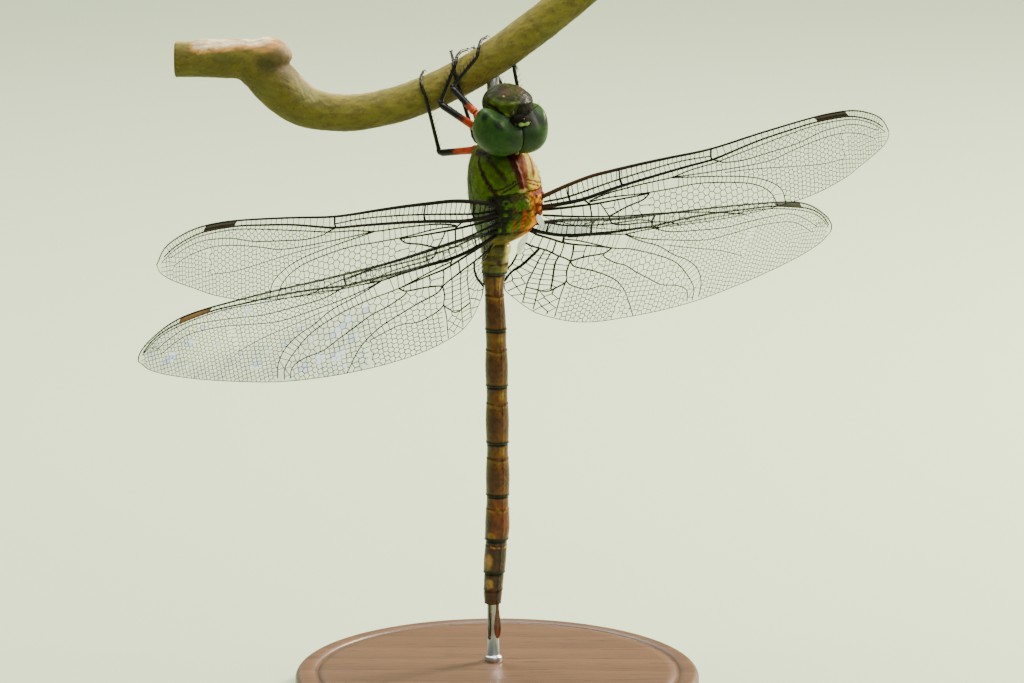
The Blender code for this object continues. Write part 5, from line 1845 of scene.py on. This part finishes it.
HIND = WingPlan(
    kind="hind", root=(2.46, -2.77, -3.41), tip=(48.2, 4.46, -12.92), tilt=18, nodus=20.3,
    stigma=(37.3, 41.3),
    lead=((0, 0), (5.1, 0.55), (8.8, 0.7), (14, 0.9), (18.6, 1.35), (23.3, 1.9), (27.8, 2.5), (34.2, 3.2),
        (39.5, 3.55), (42.6, 3.15), (45.4, 1.85), (46.9, 0.6), (47.3, -0.5)),
    trail=((0.5, -2.8), (1.1, -5.8), (1.3, -9.6), (3.9, -11.5), (8, -12.8), (12.7, -13.4), (18.3, -13.1),
        (24.2, -12.1), (30.1, -10.5), (35.5, -8.3), (41, -5.6), (45.6, -2.7), (47.3, -0.5)),
    veins={
        "Sc": Vein(((0.4, 0.05), (3, 0.05), (6, -0.26), (9, -0.23), (12, 0), (16, 0.47), (18, 0.65),
            (20.2, 0.54)), 0.075, 0.06),
        "R": Vein(((0, -0.9), (2.5, -1.24), (6, -1.48), (10, -1.16), (14, -0.76), (18, -0.27), (20.3, -0.03),
            (22, 0.42), (25, 1.18), (29, 1.94), (33, 2.45), (37, 2.95), (41, 2.85), (43, 2.6), (45, 1.8),
            (46.5, 0.5)), 0.15, 0.07),
        "RP": Vein(((7, -1.75), (9, -1.45), (13, -1.25), (15.8, -1.25), (19, -0.65), (21.5, -0.3),
            (23, 0.16), (27, 0.84), (31, 1.6), (35, 2.42), (39, 2.6), (43, 2.2), (45, 1.4), (46.6, 0.2)),
            0.065, 0.05),
        "RP2": Vein(((20.6, -0.25), (21.7, -0.6), (23.5, -0.82), (27, -0.56), (31, -0.13), (34, 0.65),
            (38, 1.6), (40.4, 1.85), (43, 1.1), (45, 0.1)), 0.06, 0.045),
        "IR2": Vein(((15.8, -1.3), (18.5, -1.7), (22, -1.9), (28.6, -1.97), (32, -1.13), (35, -0.13),
            (37, 0.4), (40, 0.8), (42, 0.5), (44.4, -0.6)), 0.055, 0.045),
        "RP3": Vein(((15.8, -1.35), (18.5, -2), (22, -2.7), (25, -4), (27, -4.6), (29, -5.8), (30.3, -7.7),
            (30.7, -9.8)), 0.055, 0.05),
        "Rspl": Vein(((23.6, -2.7), (26, -2.95), (30, -3.2), (32, -3.4), (35, -4)), 0.045, 0.04),
        "MA": Vein(((6.8, -2.1), (9, -2.35), (13.8, -3.1), (17.5, -3.25), (21, -3.75), (25, -4.76),
            (27.4, -6.3), (29.5, -8.5), (29.9, -10.3)), 0.06, 0.05),
        "MCu": Vein(((0.2, -1.3), (2.5, -1.8), (6, -2.45), (7.8, -2.75), (10, -2.85), (13.8, -3.1)), 0.1,
            0.06),
        "A1": Vein(((0.6, -3.2), (2.5, -3.55), (5, -3.9), (7.2, -4.6), (8.1, -5.1)), 0.08, 0.06),
        "MP": Vein(((12.9, -3.9), (13.3, -4.5), (15.5, -5.2), (18, -5.6), (22, -7.1), (24.5, -8.1),
            (27, -8.25), (28.6, -8.9), (29.2, -10.4)), 0.06, 0.05),
        "CuA": Vein(((8.1, -5.1), (9, -5.8), (12, -6.3), (16, -7.3), (18, -8.2), (20, -9.7), (22, -12.5)),
            0.065, 0.05),
        "side": Vein(((8.1, -5.1), (9, -4.75), (10.5, -4.35), (12.9, -3.9), (13.8, -3.1)), 0.07, 0.07),
        "loop": Vein(((8.1, -5.1), (8, -6.5), (8.3, -7.7), (7.6, -8.6), (6.8, -9.4), (5.4, -9.4),
            (4.2, -9.4)), 0.06, 0.05),
        "spread": Vein(((8.3, -7.7), (9.3, -8.3), (12, -8.85), (14.5, -8.35), (18.5, -9)), 0.055, 0.045),
        "anal": Vein(((3.5, -3.8), (3.2, -5.2), (2.6, -6.8), (1.9, -8.2), (1.35, -9.5)), 0.09, 0.09),
        "fan_4": Vein(((4.4, -3.8), (4.4, -5.5), (4.2, -7.5), (4.2, -9.4), (4.4, -11.5)), 0.05, 0.045),
        "fan_5": Vein(((5.5, -4.05), (5.5, -6), (5.6, -8), (5.8, -9.4), (6, -12)), 0.05, 0.045),
        "fan_6": Vein(((6.8, -4.4), (6.8, -6), (7, -8), (7.1, -9)), 0.05, 0.045),
        "fan_8": Vein(((8.3, -7.7), (8.2, -9.5), (8.3, -11), (8.4, -12.7)), 0.05, 0.045),
        "close": Vein(((18.5, -9), (18.3, -9.7), (18.6, -10.4), (18.3, -11.1), (18.6, -11.8), (18.3, -12.5),
            (18.5, -13.1)), 0.035, 0.035),
    },
    fields=tuple(Field(*strip) for strip in (
        ("lead", "Sc", 0.6, 20.1, (0.7, 0.6), 9), ("Sc", "R", 0.6, 20.1, (0.8, 0.75), 9),
        ("lead", "R", 20.6, 37.3, (0.9, 0.6), 9), ("lead", "R", 41.4, 46.3, (0.42, 0.35), 9),
        ("R", "RP", 7.2, 46.3, (0.75, 0.55), 1.2), ("RP", "RP2", 21.2, 46.2, (0.52, 0.45), 0.62),
        ("RP", "IR2", 16.3, 20.8, (0.7, 0.6), 1.2), ("RP2", "IR2", 20.8, 44.6, (0.55, 0.48), 0.62),
        ("RP", "MA", 7.4, 15.7, (0.85, 0.8), 1.7), ("IR2", "Rspl", 23.8, 35, (0.6, 0.5), 0.62),
        ("Rspl IR2 RP", "RP3 trail", 23.8, 46.6, (0.62, 0.4), 0.56),
        ("IR2", "RP3", 16.3, 23.7, (0.65, 0.6), 0.8), ("RP3", "MA", 16.3, 30.4, (0.65, 0.5), 1.6),
        ("MA", "MP trail", 13.9, 29.8, (0.9, 0.6), 0.9), ("MP", "CuA trail", 13.2, 29.1, (0.8, 0.55), 0.7),
        ("side", "CuA", 8.6, 13.2, (0.9, 0.8), 1.3), ("CuA", "spread trail", 8.8, 22, (0.85, 0.7), 0.8),
        ("spread", "trail", 8.9, 18.3, (0.75, 0.62), 0.68), ("MCu", "side", 9.2, 13.6, (0.9, 0.8), 1.6),
        ("trail_in", "anal", -9.3, -3.6, (0.9, 0.95), 1.3, True),
        ("anal trail_in", "fan_4", -11.2, -3.9, (0.7, 0.8), 1.4, True),
        ("fan_4", "fan_5", -11.8, -4, (0.65, 0.75), 1.2, True),
        ("fan_5", "fan_6 fan_8", -12.2, -4.3, (0.62, 0.75), 1, True),
        ("fan_6", "loop_out", -9, -4.7, (0.7, 0.75), 1.2, True))),
    struts=(((20.3, 1.5), (20.3, -0.05), 0.11), ((20.3, -0.05), (21.6, -0.55), 0.075),
        ((6.5, -1.5), (6.8, -2.55), 0.1), ((3.2, 0.4), (3.2, -1.3), 0.09), ((9.6, 0.75), (9.6, -1.2), 0.085),
        ((7.8, -2.75), (8.1, -5.1), 0.075), ((8, -3.7), (9.6, -3.6), 0.05),
        ((9.6, -3.6), (9.8, -2.85), 0.05), ((9.6, -3.6), (9.9, -4.5), 0.05),
        ((1.9, -1.7), (1.9, -3.45), 0.05), ((3.3, -1.95), (3.3, -3.65), 0.055),
        ((4.6, -2.2), (4.6, -3.85), 0.05), ((5.7, -2.4), (5.7, -4.1), 0.085),
        ((6.9, -2.55), (6.9, -4.5), 0.05), ((8.1, -5.1), (8, -4.6), 0.06)),
    warp=((0, 0), (1.6, 1), (2.2, 1.2), (3.4, 2.4), (6.6, 5.1), (8, 7.3), (13.8, 13), (20.3, 18.1),
        (37.3, 36.6), (47.3, 47.3)),
)


@dataclass
class Network:
    """The thin cross veins of one wing plan: a web of many-sided cells inside each field."""

    plan: WingPlan
    sharing: float = 0.24
    unevenness: float = 0.07

    def __post_init__(self) -> None:
        """Weave every field."""
        self.draw = np.random.default_rng(11 if self.plan.kind == "fore" else 23)
        self.threads: list[Array] = []
        self.cells: list[Array] = []
        self.seeds: list[Array] = []
        for strip in self.plan.fields:
            self.weave(strip)

    def edge(self, chain: str, turned: bool) -> Array:
        """An edge of a field as rows of (run, across), with the run rising."""
        rows = np.zeros((0, 2))
        for name in chain.split():
            known = self.known(name)
            known = known[:, ::-1] if turned else known
            if len(rows):
                last = rows[:, 0].min() if turned else rows[:, 0].max()
                known = known[known[:, 0] < last - 0.05] if turned else known[known[:, 0] > last + 0.05]
            rows = np.vstack([rows, known])
        return rows[np.argsort(rows[:, 0])]

    def known(self, name: str) -> Array:
        """The smooth course of a vein or a margin."""
        if name in self.plan.veins:
            return catmull(self.plan.veins[name].course, 5)
        if name == "trail_in":
            return np.array([(0.7, -3), (1.1, -5.8), (1.3, -9.6), (2.4, -10.5), (2.9, -10.9)])
        if name == "loop_out":
            return np.array([(7.6, -4.7), (8.1, -5.1), (8, -6.5), (8.3, -7.7), (7.6, -8.6), (7.2, -9)])
        return catmull(self.plan.lead if name == "lead" else self.plan.trail, 5)

    def weave(self, strip: Field) -> None:
        """Sow a field's cells in columns and draw the walls between neighbours."""
        upper, lower = self.edge(strip.upper, strip.turned), self.edge(strip.lower, strip.turned)
        if strip.turned:
            upper, lower = lower, upper
        seeds = self.sow(strip, upper, lower)
        if len(seeds) < 2:
            return
        reach = 2.3 * max(strip.cell[0], min(strip.row, 1.4))
        away = np.linalg.norm(seeds[:, None] - seeds[None], axis=2)
        corners: list[list[Array]] = [[] for _ in seeds]
        for i in range(len(seeds)):
            near = np.flatnonzero((away[i] < reach) & (away[i] > 0))
            for j in near[near > i]:
                wall = self.wall(seeds, i, j, near, reach)
                if wall is None:
                    continue
                corners[i].extend(wall)
                corners[j].extend(wall)
                clipped = self.clip(wall, strip, upper, lower)
                if clipped is not None:
                    self.threads.append(clipped[:, ::-1] if strip.turned else clipped)
        if not strip.turned:
            for seed, corner in zip(seeds, corners):
                self.seeds.append(seed)
                self.cells.append(np.array(corner))

    def sow(self, strip: Field, upper: Array, lower: Array) -> Array:
        """The middles of a field's cells."""
        seeds, column, run = [], 0, strip.start + 0.1
        while run < strip.stop:
            cell = np.interp(run, (strip.start, strip.stop), strip.cell)
            high, low = (np.interp(run, *edge.T) for edge in (upper, lower))
            gap = high - low
            if gap > 0.15:
                rows = max(1, round(gap / strip.row))
                shift = self.sharing * (-1) ** column if rows > 1 else 0
                for k in range(rows):
                    jitter = self.draw.uniform(-self.unevenness, self.unevenness, 2) * cell
                    seeds.append((run + jitter[0], low + gap * (k + 0.5 + shift) / rows + jitter[1]))
            run += cell
            column += 1
        return np.array(seeds).reshape(-1, 2)

    @staticmethod
    def wall(seeds: Array, i: int, j: int, near: Array, reach: float) -> Array | None:
        """The straight wall between two neighbouring cells, or None where they don't touch."""
        middle = (seeds[i] + seeds[j]) / 2
        step = seeds[j] - seeds[i]
        way = np.array([-step[1], step[0]]) / np.hypot(*step)
        others = seeds[near[near != j]]
        slope = 2 * (seeds[i] - others) @ way
        level = ((middle - others) ** 2).sum(1) - ((middle - seeds[i]) ** 2).sum()
        low, high = -reach, reach
        rising, falling = slope > 1e-9, slope < -1e-9
        if rising.any():
            low = max(low, float((-level[rising] / slope[rising]).max()))
        if falling.any():
            high = min(high, float((-level[falling] / slope[falling]).min()))
        if high - low < 0.03:
            return None
        return np.stack([middle + way * low, middle + way * high])

    @staticmethod
    def clip(wall: Array, strip: Field, upper: Array, lower: Array) -> Array | None:
        """The part of a wall inside its field, or None."""
        points = wall[0] + (wall[1] - wall[0]) * np.linspace(0, 1, 41)[:, None]
        x, y = points.T
        inside = (y <= np.interp(x, *upper.T)) & (y >= np.interp(x, *lower.T))
        inside &= (x >= strip.start - 0.2) & (x <= strip.stop + 0.2)
        if inside.sum() < 2:
            return None
        hits = np.flatnonzero(inside)
        breaks = np.flatnonzero(np.diff(hits) > 1)
        last = hits[breaks[0]] if len(breaks) else hits[-1]
        return points[[max(hits[0] - 1, 0), min(last + 1, len(points) - 1)]]


@dataclass
class Wing:
    """One wing: thick and thin veins, the film between them, and its dark mark near the tip."""

    plan: WingPlan
    web: Network
    side: Side
    fold_span: float = 8
    fold_chord: float = 8.5
    film: float = 0.035
    columns: int = 250
    rows: int = 44
    thread: float = 0.05
    glints: Sequence[Triple] = ((18.3, -4.6, 3), (18.2, -6, 1), (21.8, -6.4, 4), (20.4, -7.8, 3),
        (18.2, -9.3, 1), (19.8, -10.2, 3), (22.9, -9.6, 5), (23.2, -6.8, 1), (18.7, -12.6, 2),
        (22, -11.8, 2), (27, -3.8, 2), (25.8, -5.3, 4), (24.2, -7.7, 2), (25.2, -9.1, 3), (27.4, -9.5, 3),
        (27.9, -6.8, 1), (33.2, -6.8, 4), (31.6, -5.4, 1), (32.8, 1.3, 2), (40.7, -0.4, 5), (43, -1.4, 6),
        (44.1, -2, 3), (37.1, -2.2, 1), (40.5, 2.2, 1), (42.6, 2.7, 2), (44.5, 2.1, 2), (30.5, 1.4, 1),
        (35.2, 2, 1), (20.5, -5.2, 1), (24.6, -4.1, 1), (29, -5.2, 1), (38.6, 0.9, 1), (45.4, -0.6, 1),
        (41.6, -3.4, 1), (34.8, -4.2, 1), (28.8, 1.3, 1), (30.5, 2.1, 1), (32, 2.4, 1), (33.5, 2.6, 1),
        (35.2, 2.8, 1))

    @property
    def name(self) -> str:
        """The wing's own name."""
        return f"{self.plan.kind}_{self.side.word}"

    def build(self) -> None:
        """Build the film, the veins, the mark near the tip and the pale base flap."""
        self.sheet()
        self.long_veins()
        self.cross_veins()
        self.stigma()
        if self.plan.hind or self.side is Side.RIGHT:
            self.flap()
        if self.plan.hind and self.side is Side.LEFT:
            self.frosted_cells()

    def edge(self, name: str, along: Array) -> Array:
        """How far forward a vein or a margin lies at a distance along the wing."""
        course = self.web.known(name)
        return np.interp(along, np.maximum.accumulate(course[:, 0]), course[:, 1])

    def pleat(self, along: Array, forward: Array) -> Array:
        """How far the corrugated wing stands off its plane."""
        lead, trail, ridge = (self.edge(name, along) for name in ("lead", "trail", "R"))
        valley = np.where(along < self.plan.nodus, self.edge("Sc", along), (lead + ridge) / 2)
        fold = ease(30, 16, along)
        fade = 0.3 + 0.7 * ease(47, 20, along)
        knots = [(lead, 0.06 * fade), (valley, -0.2 * fold), (ridge, 0.2 * fade)]
        knots += [(ridge - back, up * fade) for back, up in ((0.8, -0.08), (2.3, 0.1), (4, -0.12),
            (6, 0.08))]
        knots.append((trail - 0.5, 0 * along))
        height = 0.06 * fade
        for (high, top), (low, base) in zip(knots, knots[1:]):
            share = np.clip((high - forward) / np.maximum(high - low, 1e-3), 0, 1)
            height = np.where(forward < high, top + (base - top) * share, height)
        return height * ease(-0.5, 1.5, along)

    def place(self, local: Array) -> Array:
        """Carry points of the wing's own frame (outward, forward, off its plane) to the model's."""
        along, forward, lift = local.T
        if self.side is Side.RIGHT:
            along = np.interp(along, *np.transpose(self.plan.warp)) + np.minimum(along, 0)
        elif self.plan.hind:
            along = along + 0.75 * ease(-2.5, -8, forward) * ease(12, 2, along)
        if self.plan.hind:
            depth = 6.2 if self.side is Side.LEFT else 4
            bend = np.clip((self.fold_span - along) / self.fold_span, 0, 1) ** 2
            lift = lift - depth * bend * np.clip(-forward / self.fold_chord, 0, 1)
        root, tip = np.asarray(self.plan.root), np.asarray(self.plan.tip)
        span = unit_of(tip - root)
        lead = unit_of(np.array([0, 0, 1]) - span * span[2])
        back = np.cross(span, lead)
        back = back * (-1 if back[1] > 0 else 1)
        tilt = radians(self.plan.tilt)
        lead, back = lead * cos(tilt) + back * sin(tilt), back * cos(tilt) - lead * sin(tilt)
        points = root + along[:, None] * span + forward[:, None] * lead + lift[:, None] * back
        return THORAX.world(points * (self.side.value, 1, 1))

    def tone(self, local: Array, thick: bool) -> Array:
        """The veins' colours: near black, and red-brown along the right wings' roots."""
        colour = plain((0.009, 0.007, 0.006) if thick else (0.018, 0.013, 0.009), local)
        if self.side is Side.RIGHT and not self.plan.hind:
            along, forward, _ = local.T
            red = ease(15, 1, along) * ease(-1.4, -0.2, forward - self.edge("lead", along))
            colour = blend(colour, (0.06, 0.022, 0.007), 0.8 * red + 0.8 * ease(1.2, 0.3, along))
        return colour

    def sheet(self) -> None:
        """The film: one thin closed sheet, pleated with the veins."""
        form = Form.sheet(self.columns, self.rows)
        x, y, _ = form.points().T
        along = 0.35 + (self.plan.length - 0.36) * (1 - np.cos(pi * x)) / 2
        lead, trail = self.edge("lead", along), self.edge("trail", along)
        forward = lead + (trail - lead) * y
        form.put(np.stack([along, forward, self.pleat(along, forward) - self.film / 2], 1))
        local = form.settle(self.place, self.film)
        form.finish(f"wing_{self.name}_film", WingFilm("wing_film"), Slot.WING, [f"wing_{self.name}"],
                    self.film_tone(local))

    def film_tone(self, local: Array) -> Array:
        """The film's tint and how solid it looks, by place, with a painted bluish-white sheen of reflected
        sky over parts of the hind wings.
        """
        along, forward, _ = local.T
        painted_sheen, depth = 0 * along, 0
        # Painted sheen: the hind wings are tinted bluish-white and made more solid where the sky's
        # reflection lay, widely on the left and in a strip near the front root on the right.
        if self.plan.hind and self.side is Side.LEFT:
            painted_sheen = np.maximum(ease(15, 20, along) * ease(-2.5, -5, forward), ease(38, 43, along))
            painted_sheen, depth = painted_sheen * (0.75 + 0.25 * ripple(along * 0.9, forward * 0.9, 0.4)), 0.2
        elif self.plan.hind:
            painted_sheen, depth = 0.9 * ease(0.4, 2, along) * ease(12, 8, along) * ease(-1.6, -1.2, forward), 0.42
        solid = 0.09 - 0.04 * ease(12, 2, along) + depth * np.clip(painted_sheen, 0, 1)
        return np.column_stack([blend(plain((0.5, 0.52, 0.36), local), (0.55, 0.6, 0.78), painted_sheen), solid])

    def line(self, course: Array, root: float, tip: float) -> Array:
        """A vein's run in the wing's own frame, with its radius."""
        share = np.linspace(0, 1, len(course))
        height = self.pleat(course[:, 0], course[:, 1])
        return np.column_stack([course, height, root + (tip - root) * share])

    def long_veins(self) -> None:
        """The long veins, the margins, the main struts and the fine teeth along the front edge."""
        runs = [self.line(spaced(catmull(vein.course, 8), 60), vein.root,
            vein.tip) for vein in self.plan.veins.values()]
        for run in runs:
            run[:, 3] *= np.interp(run[:, 0], [0, 5, 14, 30, 47], [1.9, 1.75, 1.45, 1.25, 1.1])
        lead = self.line(spaced(catmull(self.plan.lead, 8), 150), 0.18, 0.095)
        lead[:, 3] = np.interp(lead[:, 0], [0, 3, 12, 24, 38, 47.3], [0.3, 0.26, 0.21, 0.14, 0.11, 0.07])
        trail = self.line(spaced(catmull(self.plan.trail, 8), 150), 0.05, 0.045)
        if self.plan.hind:
            trail[:, 3] += np.interp(trail[:, 0], [0.5, 1.4, 2.4], [0.03, 0.09, 0])
        runs += [lead, trail]
        for start, stop, radius in self.plan.struts:
            runs.append(self.line(np.linspace(start, stop, 5), radius * 1.2, radius * 1.2))
        teeth = spaced(catmull(self.plan.lead, 8), 108)[4:-4]
        for place, ahead in zip(teeth, teeth[1:]):
            way = ahead - place
            tip = place + way * 0.3 + np.array([-way[1], way[0]]) / np.hypot(*way) * 0.2
            runs.append(self.line(np.array([place, tip]), 0.035, 0.006))
        self.weave(runs, 1, "long_veins", True)

    def weave(self, runs: Sequence[Array], rounding: int, name: str, thick: bool) -> None:
        """Turn runs of veins into one dressed piece."""
        form = Form.tubes(runs, rounding)
        local = form.points()
        form.put(self.place(local))
        form.finish(f"wing_{self.name}_{name}", VeinLacquer(), Slot.WING, (), self.tone(local, thick))

    def cross_veins(self) -> None:
        """The web of thin veins between the long ones."""
        runs = [self.line(thread, self.thread, self.thread) for thread in self.web.threads]
        for run in runs:
            run[:, 3] *= np.interp(run[:, 0], [0, 12, 30, 47], [1.3, 1.05, 0.8, 0.68])
        self.weave(runs, 0, "cross_veins", False)

    def stigma(self) -> None:
        """The thick coloured cell on the front edge near the tip."""
        form = Form.sheet(40, 6)
        x, y, _ = form.points().T
        start, stop = self.plan.stigma
        along = start + (stop - start) * x
        lead, ridge = self.edge("lead", along), self.edge("R", along)
        forward = lead + (ridge - lead) * y
        form.put(np.stack([along + (y - 0.5) * 0.5, forward, self.pleat(along, forward) - 0.07], 1))
        local = form.settle(self.place, 0.14)
        amber = self.plan.hind and self.side is Side.LEFT
        form.finish(f"wing_{self.name}_mark", Cuticle("wing_mark", 0.3, 0.5, 0.2, 0.01, 0.3), Slot.WING, (),
                    plain((0.2, 0.075, 0.02) if amber else (0.03, 0.014, 0.008), local))

    def flap(self) -> None:
        """The pale flap at the wing's inner corner, painted dark on the left hind wing as painted shade."""
        form = Form.sheet(10, 24)
        x, y, _ = form.points().T
        hind, right = self.plan.hind, self.side is Side.RIGHT
        low, high = (-5.2, -1.7) if hind else (-3.7, -1.9)
        width = (1.3 if hind else 0.8) * np.sin(pi * np.clip(y, 0.02, 0.98)) ** 0.7
        forward = high + (low - high) * y
        inner = np.interp(-forward, [1.7, 3.6, 5.2], [-0.5, -0.1, 0.5] if hind else [-0.3, 0.5, 0.9])
        along = inner + (0.5 if hind else -0.7) * right - 0.5 * width + width * x
        form.put(np.stack([along, forward, 0.12 * np.sin(pi * x) + (0.05 if hind else 0.3)], 1))
        local = form.settle(self.place, 0.05)
        # Painted shade: the left flap is laid dark olive, the right one pale.
        form.finish(f"wing_{self.name}_flap", Cuticle("wing_flap", 0.45, 0.1, 0.2, 0.01, 0.12), Slot.WING,
            (), plain((0.9, 0.9, 0.84) if right else (0.1, 0.11, 0.06), local))

    def frosted_cells(self) -> None:
        """Painted glints: bluish-white glowing cells scattered over the outer half of the left hind wing,
        standing for the sky's reflection in them.
        """
        seeds = np.array(self.web.seeds)
        form = Form()
        used: set[int] = set()
        for x, y, count in self.glints:
            for pick in np.argsort(np.hypot(*(seeds - (x, y)).T))[:count]:
                if pick in used:
                    continue
                used.add(pick)
                way = self.web.cells[pick] - seeds[pick]
                way = way[np.hypot(*way.T) < 0.75]
                if len(way) < 5:
                    continue
                way = way[np.argsort(np.arctan2(way[:, 1], way[:, 0]))] * 0.96
                form.bm.faces.new([form.bm.verts.new((*(seeds[pick] + step), 0)) for step in way])
        bmesh.ops.remove_doubles(form.bm, verts=form.bm.verts, dist=0.02)
        points = form.points()
        points[:, 2] = self.pleat(points[:, 0], points[:, 1]) - 0.03
        local = form.put(points).settle(self.place, 0.06)
        # Painted reflection: the picked cells are filled as glowing bluish-white glints.
        form.finish(f"wing_{self.name}_frosted_cells", Frost(), Slot.WING, (), plain((0.86, 0.92, 1), local),
            False)


# ---- the whole piece


def main() -> None:
    """Build the stand, the twig and the dragonfly, then the studio round them."""
    logging.basicConfig(level=logging.INFO, format="%(name)s %(message)s")
    Stand().build()
    twig = Twig()
    twig.build()
    Head().build()
    Thorax().build()
    Abdomen().build()
    for plan in LEG_PLANS:
        Leg(plan, twig).build()
    for plan in (FORE, HIND):
        web = Network(plan)
        LOG.info("%s wings: %d cross veins", plan.kind, len(web.threads))
        for side in Side:
            Wing(plan, web, side).build()
    Studio().build()


if __name__ == "__main__":
    main()
